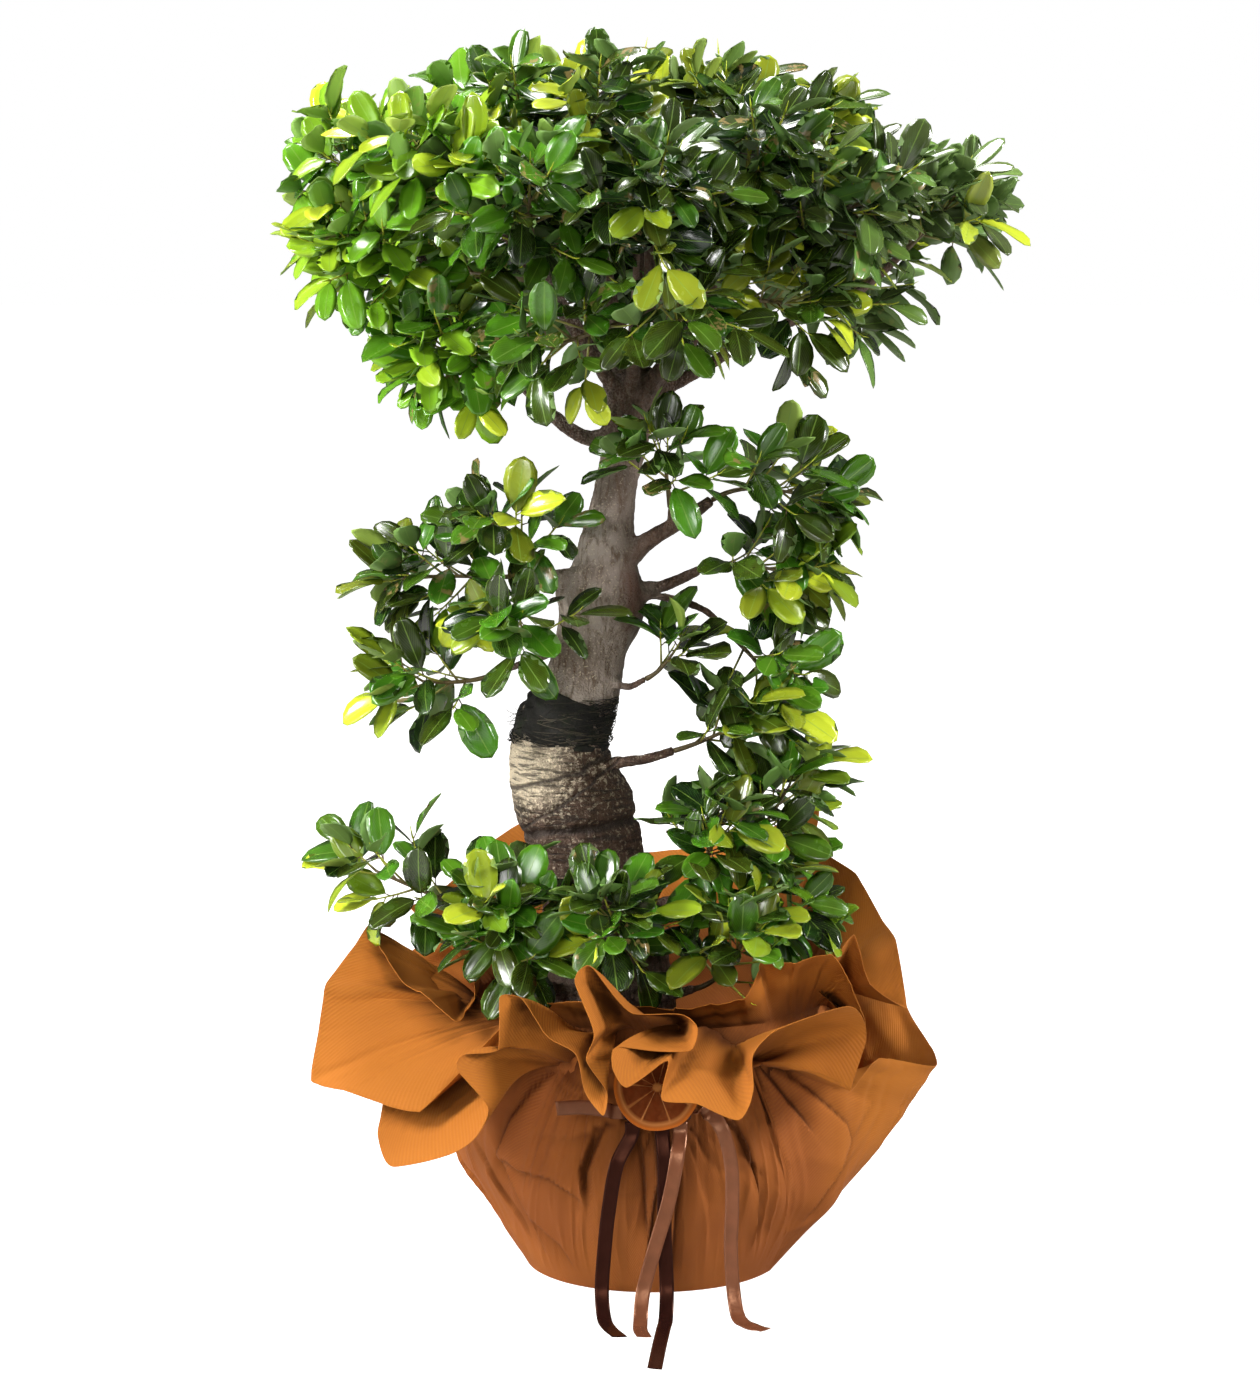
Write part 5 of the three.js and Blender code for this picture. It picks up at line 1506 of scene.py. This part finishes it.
def pleated(rows, shares, places, laps, total, plan):
    """The rows laid in pleats, waves, ridges and big folds, and the painted shade of the cloth at each point."""
    broad = Pleats(plan["seed"], plan["pleats"], total)
    fine = Pleats(plan["seed"] + 5, plan["pleats"] * 3, total)
    outward = surface_normals(rows)
    moved = np.empty_like(rows)
    pinched = np.zeros(rows.shape[:2])
    tight = np.clip(np.minimum(places, plan["tight"] - places) / 5, 0, 1)
    for row, share in enumerate(shares):
        drift = 0.5 * noise_at(share * 2.5, plan["seed"], 0)
        deep = np.interp(share, *zip(*plan["broad"])) * broad.depth(laps + 18 * drift, min(share, 1))
        deep += np.interp(share, *zip(*plan["fine"])) * fine.depth(laps + 18 * drift, 1)
        waves = np.array([noise_at(place * 0.4, share * 2.6, plan["seed"]) for place in places])
        deep += waves * np.interp(share, *zip(*WAVES))
        ridges = np.array([
            noise_at(place * 0.5 + 1.6 * share, share * 1.5 - 0.3 * place, 9) for place in places
        ])
        ridges = (1 - np.minimum(np.abs(ridges) * 2.5, 1)) ** 2
        deep -= ridges * np.interp(share, *zip(*RIDGES))
        behind = np.clip((rows[row, :, 1] + 70) / 80, 0, 1)
        calm = 0.4 * (1 - behind) if share < 1 else 0
        deep *= 1 + plan["behind"] * behind - calm
        deep += plan["flutter"] * behind * clamp((share - 1) / 0.6) * np.sin(laps / 26 + 3 * drift) * (1 + waves)
        deep = np.minimum(deep, np.interp(share, *zip(*BODY_ROOM)))
        moved[row] = rows[row] - outward[row] * deep[:, None]
        # Painted shade: darker in deep creases, and near the neck of the tight front columns
        creases = np.clip(deep / DARKEST_SHADE_DEPTH, 0, 1) ** 2
        neck_shade = math.exp(-((share - 1) / (0.36 if share > 1 else 0.08)) ** 2) * plan["neck_shade"] * tight
        pinched[row] = 0.5 * creases * min(share, 1) + neck_shade
    if plan["spokes"]:
        depth, near = spokes(moved, plan["seed"], shares)
        laid, hollow_shade = overlaps(moved, shares)
        moved = moved - outward * (depth + laid)[:, :, None]
        # Painted shade in the spoke creases, round the knot and in the hollows beside the big folds
        pinched += 0.06 * depth ** 2 + near + hollow_shade
    return moved, np.clip(pinched, 0, MOST_FOLD_SHADE)


def build_sheet(name, columns, neck_row, settings, material, plan):
    """A gathered sheet: columns from the foot to the edge, smoothed both ways, pleated and creased."""
    rows, shares, places, laps, total = sheet_rows(columns, neck_row, plan)
    rows, pinched = pleated(rows, shares, places, laps, total, plan)
    across = rows.shape[1]

    # Under the foot the sheet runs in to the middle
    foot_row = rows[0]
    for share in (0.93, 0.5, 0.12):
        flat = foot_row * vec(share, share, 1)
        flat[:, 2] = mix(plan["centre"], foot_row[:, 2], share)
        rows = np.concatenate([flat[None], rows])
        shares = np.concatenate([[0], shares])
        pinched = np.concatenate([np.zeros((1, across)), pinched])
    rows[:, :, 2] = np.maximum(rows[:, :, 2], plan["centre"])
    steps_across = np.linalg.norm(np.roll(rows, -1, axis=1) - rows, axis=2)
    u = np.concatenate([[0], np.cumsum(steps_across[-8:].mean(axis=0))])[:across]
    v = np.concatenate([[0], np.cumsum(np.linalg.norm(np.diff(rows, axis=0), axis=2).mean(axis=1))])
    uvs = np.stack(np.meshgrid(u, v), axis=2).reshape(-1, 2) * MM
    centre = len(rows) * across
    points = np.concatenate([rows.reshape(-1, 3), [[0, 0, plan["centre"]]]])
    faces = net(len(rows), across) + [[a, (a + 1) % across, centre] for a in range(across)]
    out = np.hypot(rows[:, :, 0], rows[:, :, 1])
    # Painted shade on the body, fading up the ruffle and further out to the single cloth painted as lit through from
    # behind
    backed = np.interp(shares, [0, 1, 1.6], [1, 1, 0])[:, None] * np.clip(1 - (out - 168) / 40, 0.2, 1)
    backed = np.append(backed.ravel(), 1)
    heap = Heap("backed", "pinched")
    heap.add(
        points, faces, 0, np.concatenate([uvs, [[0, 0]]]), backed=backed, pinched=np.append(pinched.ravel(), 0),
    )
    piece = heap.piece(name, material)
    modify(piece, "SOLIDIFY", thickness=settings.thickness, offset=-1)
    bpy.ops.object.shade_smooth_by_angle(angle=math.radians(42))
    return piece


# How each sheet is drawn: its samples and steps, the pull of its corners, and its pleats' depth in millimetres
# at shares of the way up, where 0 is the foot, 1 the neck and 2 the edge
OUTER_PLAN = {
    "samples": 7, "step": 1.8, "back_step": 2.6, "body_steps": 14, "ruffle_steps": 18, "corner": 0.36,
    "bow": 0.15, "centre": 0.0, "behind": 0.9, "flutter": 6.0, "seed": 311, "pleats": 34, "neck_shade": 0.95,
    "tight": 34, "spokes": True,
    "broad": [(0, 0.6), (0.06, 2), (0.25, 3.5), (0.5, 4.5), (0.7, 5.5), (0.9, 4.5), (1, 3.5), (1.3, 1), (2, 0.5)],
    "fine": [(0, 0), (0.1, 0.5), (0.5, 0.5), (0.8, 1.6), (1, 2.2), (1.3, 1.4), (2, 0.7)],
}
INNER_PLAN = {
    "samples": 14, "step": 5.0, "back_step": 5.0, "body_steps": 6, "ruffle_steps": 22, "corner": 0.2,
    "bow": 0.06, "centre": 1.5, "behind": 0.0, "flutter": 0.0, "seed": 733, "pleats": 44, "neck_shade": 0.5,
    "tight": 40, "spokes": False,
    "broad": [(0, 0.2), (0.5, 0.6), (1, 1.2), (1.3, 3.5), (1.7, 4.5), (2, 3)],
    "fine": [(0, 0), (0.7, 0), (1, 0.8), (1.4, 2), (2, 1.2)],
}


def shade_recesses(pieces):
    """Paints shade into the cloth where other cloth stands close in front of it, as deep in the folds of the ruffle.
    """
    tree = tree_of(pieces)
    heights = 1 - (2 * np.arange(RECESS["rays"]) + 1) / RECESS["rays"]
    turns = GOLDEN_ANGLE * np.arange(RECESS["rays"])
    ring = np.sqrt(1 - heights ** 2)
    ways = np.stack([ring * np.cos(turns), ring * np.sin(turns), heights], axis=1)
    for piece in pieces:
        mesh = piece.data
        places, normals = read(mesh, "co"), read(mesh, "normal")
        attribute = mesh.attributes["pinched"]
        values = np.empty(len(places), np.float32)
        attribute.data.foreach_get("value", values)
        facing = normals @ ways.T
        for i in np.nonzero((places[:, 2] > RECESS["from"]) & (places[:, 1] < 0))[0]:
            origin = Vector(places[i] + normals[i] * RECESS["lift"])
            near, total = 0.0, 0.0
            for k in np.nonzero(facing[i] > 0.1)[0]:
                away = tree.ray_cast(origin, Vector(ways[k]), RECESS["reach"])[3]
                total += facing[i, k]
                near += 0 if away is None else facing[i, k] * (1 - away / RECESS["reach"])
            values[i] = max(values[i], clamp(2.1 * near / total - 0.14, 0, 0.9))
        attribute.data.foreach_set("value", values)


def build_wraps(settings):
    cloth = cloth_material(settings)
    ruffle = []
    for i, edge in enumerate(RUFFLE):
        angle = mix(*RUFFLE_NECK, i / (len(RUFFLE) - 1))
        ruffle.append(wrap_column((angle, NECK["radius"], neck_height(angle)), edge))
    columns = [*ruffle, *[wrap_column(neck, edge) for neck, edge in WRAP_SIDES]]
    outer = build_sheet("outer_cloth", columns, 4, settings, cloth, OUTER_PLAN)
    seat(outer, "wrap", "wrap_outer")
    lining = [lining_column(*column) for column in LINING]
    inner = build_sheet("inner_cloth", lining, 2, settings, cloth, INNER_PLAN)
    seat(inner, "lining", "wrap_inner")
    shade_recesses([outer, inner])


# Ribbons, in millimetres as in the frame
KNOT = {"x": 3, "y": -170.9, "z": 172, "long": 56, "radius": 8}
FLOOR = 0.6
UNDER_KNOT = 163.7
LEFT_OF_KNOT = -25.3
RIGHT_OF_KNOT = 31.3
RIBBON_POINTS = 7
RIBBONS = {
    "ribbon_dark_left": ("dark_satin", (1, 0, 0), [
        [-18, KNOT["y"], UNDER_KNOT], [-18, KNOT["y"], UNDER_KNOT - 10], [-30, -177, 130], [-37, -178, 92],
        [-41, -178, 54], [-43, -180, 20], [-41, -193, 2.6], [-37, -213, FLOOR + 0.1], [-28, -238, FLOOR],
    ]),
    "ribbon_dark_middle": ("dark_satin", (1, 0, 0), [
        [7, KNOT["y"], UNDER_KNOT], [7, KNOT["y"], UNDER_KNOT - 9], [9, -176, 130], [9, -177, 72],
        [11, -179, 22], [10, -194, 2], [8, -215, FLOOR], [4, -265, FLOOR], [0, -322, FLOOR],
    ]),
    "ribbon_tan_middle": ("tan_satin", (1, 0, 0), [
        [22, KNOT["y"], UNDER_KNOT], [22, KNOT["y"] - 1, UNDER_KNOT - 9], [20, -182, 140], [13, -186, 102],
        [0, -188, 57], [-9, -190, 22], [-11, -203, 2], [-11, -220, FLOOR], [-8, -238, FLOOR],
    ]),
    "ribbon_tan_right": ("tan_satin", (1, -0.3, 0), [
        [RIGHT_OF_KNOT, KNOT["y"], KNOT["z"]], [RIGHT_OF_KNOT + 8, KNOT["y"], KNOT["z"]], [48, -174, 170],
        [57, -180, 158], [64, -182, 130], [65, -182, 95], [64, -182, 60], [66, -185, 26], [69, -193, 7],
        [72, -202, FLOOR + 2.4], [78, -210, FLOOR + 1.1], [84, -215, FLOOR + 0.5], [92, -220, FLOOR + 0.4],
    ]),
    "ribbon_tan_stub": ("tan_satin", (0, 0, 1), [
        [LEFT_OF_KNOT, KNOT["y"], KNOT["z"]], [LEFT_OF_KNOT - 8, KNOT["y"], KNOT["z"]], [-38, -178, 175],
        [-58, -188, 180], [-80, -200, 182],
    ]),
}


def build_ribbon(name, slot, side, line, settings, material):
    """A flat satin strip along its line, with a slightly oblique cut end."""
    path = Line(line)
    width = settings.width / MM
    steps = max(24, int(path.length / 2.5))
    across = np.linspace(-0.5, 0.5, RIBBON_POINTS)
    rows, uvs = [], []
    for step in range(steps + 1):
        share = step / steps
        along = path.tangent(share)
        wide = unit(vec(*side) - along * np.dot(along, vec(*side)))
        up = np.cross(wide, along)
        cup = 0.35 * np.cos(across * math.pi)
        slope = across * 3.2 * share ** 24
        rows.append(path.point(share) + np.outer(across * width, wide) + np.outer(cup, up) + np.outer(slope, along))
        uvs.append(np.column_stack([across * width, np.full(RIBBON_POINTS, share * path.length)]))
    firsts = [step * RIBBON_POINTS + a for step in range(steps) for a in range(RIBBON_POINTS - 1)]
    faces = [[first + i for i in (0, 1, RIBBON_POINTS + 1, RIBBON_POINTS)] for first in firsts]
    heap = Heap()
    heap.add(np.concatenate(rows), faces, 0, np.concatenate(uvs) * MM)
    piece = heap.piece(name + "_satin", material)
    modify(piece, "SOLIDIFY", thickness=settings.thickness, offset=0)
    seat(piece, slot, name)


def knot_part(radius, depth, along, tilt, ends):
    """A cylinder across the knot, its axis near to level."""
    bpy.ops.object.select_all(action="DESELECT")
    bpy.ops.mesh.primitive_cylinder_add(
        vertices=40, radius=radius * MM, depth=depth, end_fill_type=ends,
        location=(along * MM, KNOT["y"] * MM, KNOT["z"] * MM),
        rotation=(0, math.radians(90 + tilt), math.radians(tilt)),
    )
    bpy.ops.object.transform_apply(location=True, rotation=True, scale=True)
    return bpy.context.active_object


# The bands of the knot: how far along it they lie, their radius, and how they are tilted
BANDS = [(-16, 8, -9), (-6, 8.6, 7), (5, 8.2, -6), (15, 8.5, 9), (23, 7.6, -12)]
CORE_RADIUS = 6.6


def build_knot(settings, material):
    """The ribbon wound together: overlapping bands round a core, each a little askew."""
    made = []
    for along, radius, tilt in BANDS:
        band = knot_part(radius, settings.width, along, tilt, "NOTHING")
        modify(band, "SOLIDIFY", thickness=0.0012, offset=-1)
        modify(band, "BEVEL", width=0.0004, segments=2)
        made.append(band)
    core = knot_part(CORE_RADIUS, KNOT["long"] * MM, KNOT["x"], 0, "NGON")
    modify(core, "BEVEL", width=0.002, segments=3)
    only(core)
    for band in made:
        band.select_set(True)
    bpy.ops.object.join()
    core.name = "wound_knot"
    dress(core.data, material)
    only(core)
    bpy.ops.object.shade_smooth_by_angle(angle=math.radians(40))
    seat(core, "dark_satin", "ribbon_knot")


SLICE = {"tilt": 15, "place": (3, -175.6, 194), "segments": 10, "rings": 22}


def build_slice(settings, material):
    """A dried round of orange: a leathery rind, thin pith, and sunken segments between raised membranes."""
    radius, thick = settings.radius, settings.thickness
    bpy.ops.object.select_all(action="DESELECT")
    bpy.ops.mesh.primitive_cylinder_add(vertices=140, radius=radius, depth=thick)
    piece = bpy.context.active_object
    bpy.ops.object.mode_set(mode="EDIT")
    bpy.ops.mesh.select_mode(type="FACE")
    bpy.ops.mesh.select_all(action="DESELECT")
    bpy.ops.object.mode_set(mode="OBJECT")
    for polygon in piece.data.polygons:
        polygon.select = abs(polygon.normal.z) > 0.9
    bpy.ops.object.mode_set(mode="EDIT")
    for _ in range(SLICE["rings"]):
        bpy.ops.mesh.inset(thickness=radius * 0.96 / SLICE["rings"])
    bpy.ops.object.mode_set(mode="OBJECT")
    mesh = piece.data
    points = read(mesh, "co")
    away = np.linalg.norm(points[:, :2], axis=1) / radius
    angles = np.arctan2(points[:, 1], points[:, 0])
    wobble = np.array([noise_at(2 * math.cos(a), 2 * math.sin(a), 0.4) for a in angles])
    spoke = np.abs(((angles + 0.25 * wobble) / (2 * math.pi) * SLICE["segments"]) % 1 - 0.5) * 2
    membrane = np.clip((spoke - 0.86) / 0.1, 0, 1)
    pith = np.clip((away - 0.8) / 0.05, 0, 1) * np.clip((0.93 - away) / 0.03, 0, 1)
    pith = np.maximum(pith, membrane * np.clip((0.86 - away) / 0.03, 0, 1))
    pith = np.maximum(pith, np.clip((0.12 - away) / 0.04, 0, 1))
    rind = np.clip((away - 0.9) / 0.04, 0, 1)
    pulp = np.array([noise_at(*point / radius * 9) for point in points])
    sunk = (1 - np.maximum(pith, rind)) * (0.3 + 0.25 * pulp)
    points[:, 2] *= 1 - sunk
    points[:, :2] *= (1 + 0.018 * wobble * (away > 0.5))[:, None]
    points[:, 2] += 0.0008 * wobble * away
    across, along, up = points.T
    stood = np.stack([across, *turned(along, up, math.radians(90 - SLICE["tilt"]))], axis=1)
    mesh.vertices.foreach_set("co", (stood + vec(*SLICE["place"]) * MM).ravel())
    write(mesh, "pith", pith)
    write(mesh, "rind", rind)
    mesh.update()
    piece.name = "dried_slice"
    dress(mesh, material)
    only(piece)
    bpy.ops.object.shade_smooth_by_angle(angle=math.radians(50))
    seat(piece, "dried_orange", "orange_slice")


# Stage: the floor's size and the camera's place to the side, in metres, and its tilt in degrees
FLOOR_SIZE = 60
CAMERA_SIDE = -0.01957
CAMERA_TILT = 7.488
# Each lamp: its place, its size, its power, the height it is turned to and how wide it fans out
LAMPS = [
    ("key", (-2.9, -1.2, 2.3), 0.8, 150, 0.6, 180), ("low", (-3.0, -0.9, 0.8), 0.7, 60, 0.6, 180),
    ("rim", (2.9, -0.7, 2.0), 0.9, 152, 0.6, 180), ("top", (-0.5, 0.7, 3.3), 1.3, 140, 0.6, 180),
    ("front", (0.4, -3.6, 1.9), 1.4, 9.5, 0.6, 180), ("fill", (-0.8, -3.3, 1.2), 1.0, 1.9, 0.1, 28),
]


# Operators
class FICUS_OT_stage(bpy.types.Operator):
    """Set up the floor, the camera and the soft lights"""
    bl_idname = "ficus.stage"
    bl_label = "Stage"

    def execute(self, context):
        settings = context.scene.ficus_stage
        bpy.ops.object.select_all(action="DESELECT")
        bpy.ops.mesh.primitive_plane_add(size=FLOOR_SIZE)
        floor = context.active_object
        floor.name = "floor"
        floor.data.materials.append(floor_material(settings))
        lens = bpy.data.cameras.new("camera")
        lens.lens = settings.lens
        camera = bpy.data.objects.new("camera", lens)
        camera.location = (CAMERA_SIDE, -settings.distance, settings.height)
        camera.rotation_euler = (math.radians(90 - CAMERA_TILT), 0, 0)
        context.collection.objects.link(camera)
        context.scene.camera = camera
        for name, place, size, power, height, spread in LAMPS:
            lamp = bpy.data.lights.new(name, "AREA")
            lamp.size = size
            lamp.energy = power
            lamp.spread = math.radians(spread)
            light = bpy.data.objects.new(name, lamp)
            light.visible_camera = False
            light.location = place
            light.rotation_euler = (Vector((0, 0, height)) - Vector(place)).to_track_quat("-Z", "Y").to_euler()
            context.collection.objects.link(light)
        world = bpy.data.worlds.new("studio")
        world.use_nodes = True
        # The studio is white to look at and a little dimmer as a light
        world.node_tree.nodes.clear()
        add = partial(add_node, world.node_tree)
        strength = add("MapRange", {0: add("LightPath", out="Is Camera Ray"), 3: 0.12, 4: 1})
        end = world.node_tree.nodes.new("ShaderNodeOutputWorld")
        world.node_tree.links.new(add("Background", ((1, 1, 1, 1), strength)), end.inputs["Surface"])
        context.scene.world = world
        context.scene.view_settings.view_transform = "Standard"
        return {"FINISHED"}


class FICUS_OT_trunk(bpy.types.Operator):
    """Fuse the trunk and its limbs and give them bark"""
    bl_idname = "ficus.trunk"
    bl_label = "Trunk"

    def execute(self, context):
        settings = context.scene.ficus_trunk
        build_trunk(settings, bark_material(settings))
        build_band(fibre_material())
        return {"FINISHED"}


class FICUS_OT_foliage(bpy.types.Operator):
    """Grow every spray of leaves"""
    bl_idname = "ficus.foliage"
    bl_label = "Leafy sprays"

    def execute(self, context):
        settings = context.scene.ficus_foliage
        walls = tree_of(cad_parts[name] for name in ("trunk", "graft_band", "wrap_outer", "wrap_inner"))
        materials = [leaf_material(settings, False), leaf_material(settings, True), twig_material(settings)]
        for number, (name, spray) in enumerate(SPRAYS.items()):
            build_spray(name, number, spray, settings, walls, materials)
        return {"FINISHED"}


class FICUS_OT_pot(bpy.types.Operator):
    """Finish the pot and fill it with soil"""
    bl_idname = "ficus.pot"
    bl_label = "Pot and soil"

    def execute(self, context):
        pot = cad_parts["pot"]
        dress(pot.data, plastic_material())
        build_soil(soil_material())
        return {"FINISHED"}


class FICUS_OT_wraps(bpy.types.Operator):
    """Gather both cloth sheets round the pot"""
    bl_idname = "ficus.wraps"
    bl_label = "Cloth wraps"

    def execute(self, context):
        build_wraps(context.scene.ficus_wrap)
        return {"FINISHED"}


class FICUS_OT_ribbons(bpy.types.Operator):
    """Tie the knot and hang the ribbon ends"""
    bl_idname = "ficus.ribbons"
    bl_label = "Ribbons"

    def execute(self, context):
        settings = context.scene.ficus_ribbon
        satin = {
            "dark_satin": satin_material("satin, dark brown", settings.dark, rgb("#7a4a38")),
            "tan_satin": satin_material("satin, rose tan", settings.tan, rgb("#e0a884")),
        }
        for name, (slot, side, line) in RIBBONS.items():
            build_ribbon(name, slot, side, line, settings, satin[slot])
        build_knot(settings, satin["dark_satin"])
        return {"FINISHED"}


class FICUS_OT_slice(bpy.types.Operator):
    """Lean the dried orange slice on the knot"""
    bl_idname = "ficus.slice"
    bl_label = "Orange slice"

    def execute(self, context):
        settings = context.scene.ficus_slice
        build_slice(settings, orange_material(settings))
        return {"FINISHED"}


class FICUS_PT_sidebar(bpy.types.Panel):
    """Sizes, colours and steps of the ficus bonsai"""
    bl_idname = "FICUS_PT_sidebar"
    bl_label = "Ficus bonsai"
    bl_space_type = "VIEW_3D"
    bl_region_type = "UI"
    bl_category = "Ficus"

    def draw(self, context):
        for operator in OPERATORS:
            self.layout.operator(operator.bl_idname)
        for name in SETTINGS:
            box = self.layout.box()
            group = getattr(context.scene, name)
            for key in group.__annotations__:
                box.prop(group, key)


SETTINGS = {
    "ficus_stage": StageSettings, "ficus_trunk": TrunkSettings, "ficus_foliage": FoliageSettings,
    "ficus_wrap": WrapSettings, "ficus_ribbon": RibbonSettings, "ficus_slice": SliceSettings,
}
OPERATORS = [
    FICUS_OT_stage, FICUS_OT_pot, FICUS_OT_trunk, FICUS_OT_foliage, FICUS_OT_wraps, FICUS_OT_ribbons,
    FICUS_OT_slice,
]
CLASSES = [*SETTINGS.values(), *OPERATORS, FICUS_PT_sidebar]


def register():
    for item in CLASSES:
        bpy.utils.register_class(item)
    for name, group in SETTINGS.items():
        setattr(bpy.types.Scene, name, PointerProperty(type=group))


def unregister():
    for name in SETTINGS:
        delattr(bpy.types.Scene, name)
    for item in reversed(CLASSES):
        bpy.utils.unregister_class(item)


def main():
    register()
    bpy.ops.ficus.stage()
    bpy.ops.ficus.pot()
    bpy.ops.ficus.trunk()
    bpy.ops.ficus.foliage()
    bpy.ops.ficus.wraps()
    bpy.ops.ficus.ribbons()
    bpy.ops.ficus.slice()


if __name__ == "__main__":
    main()
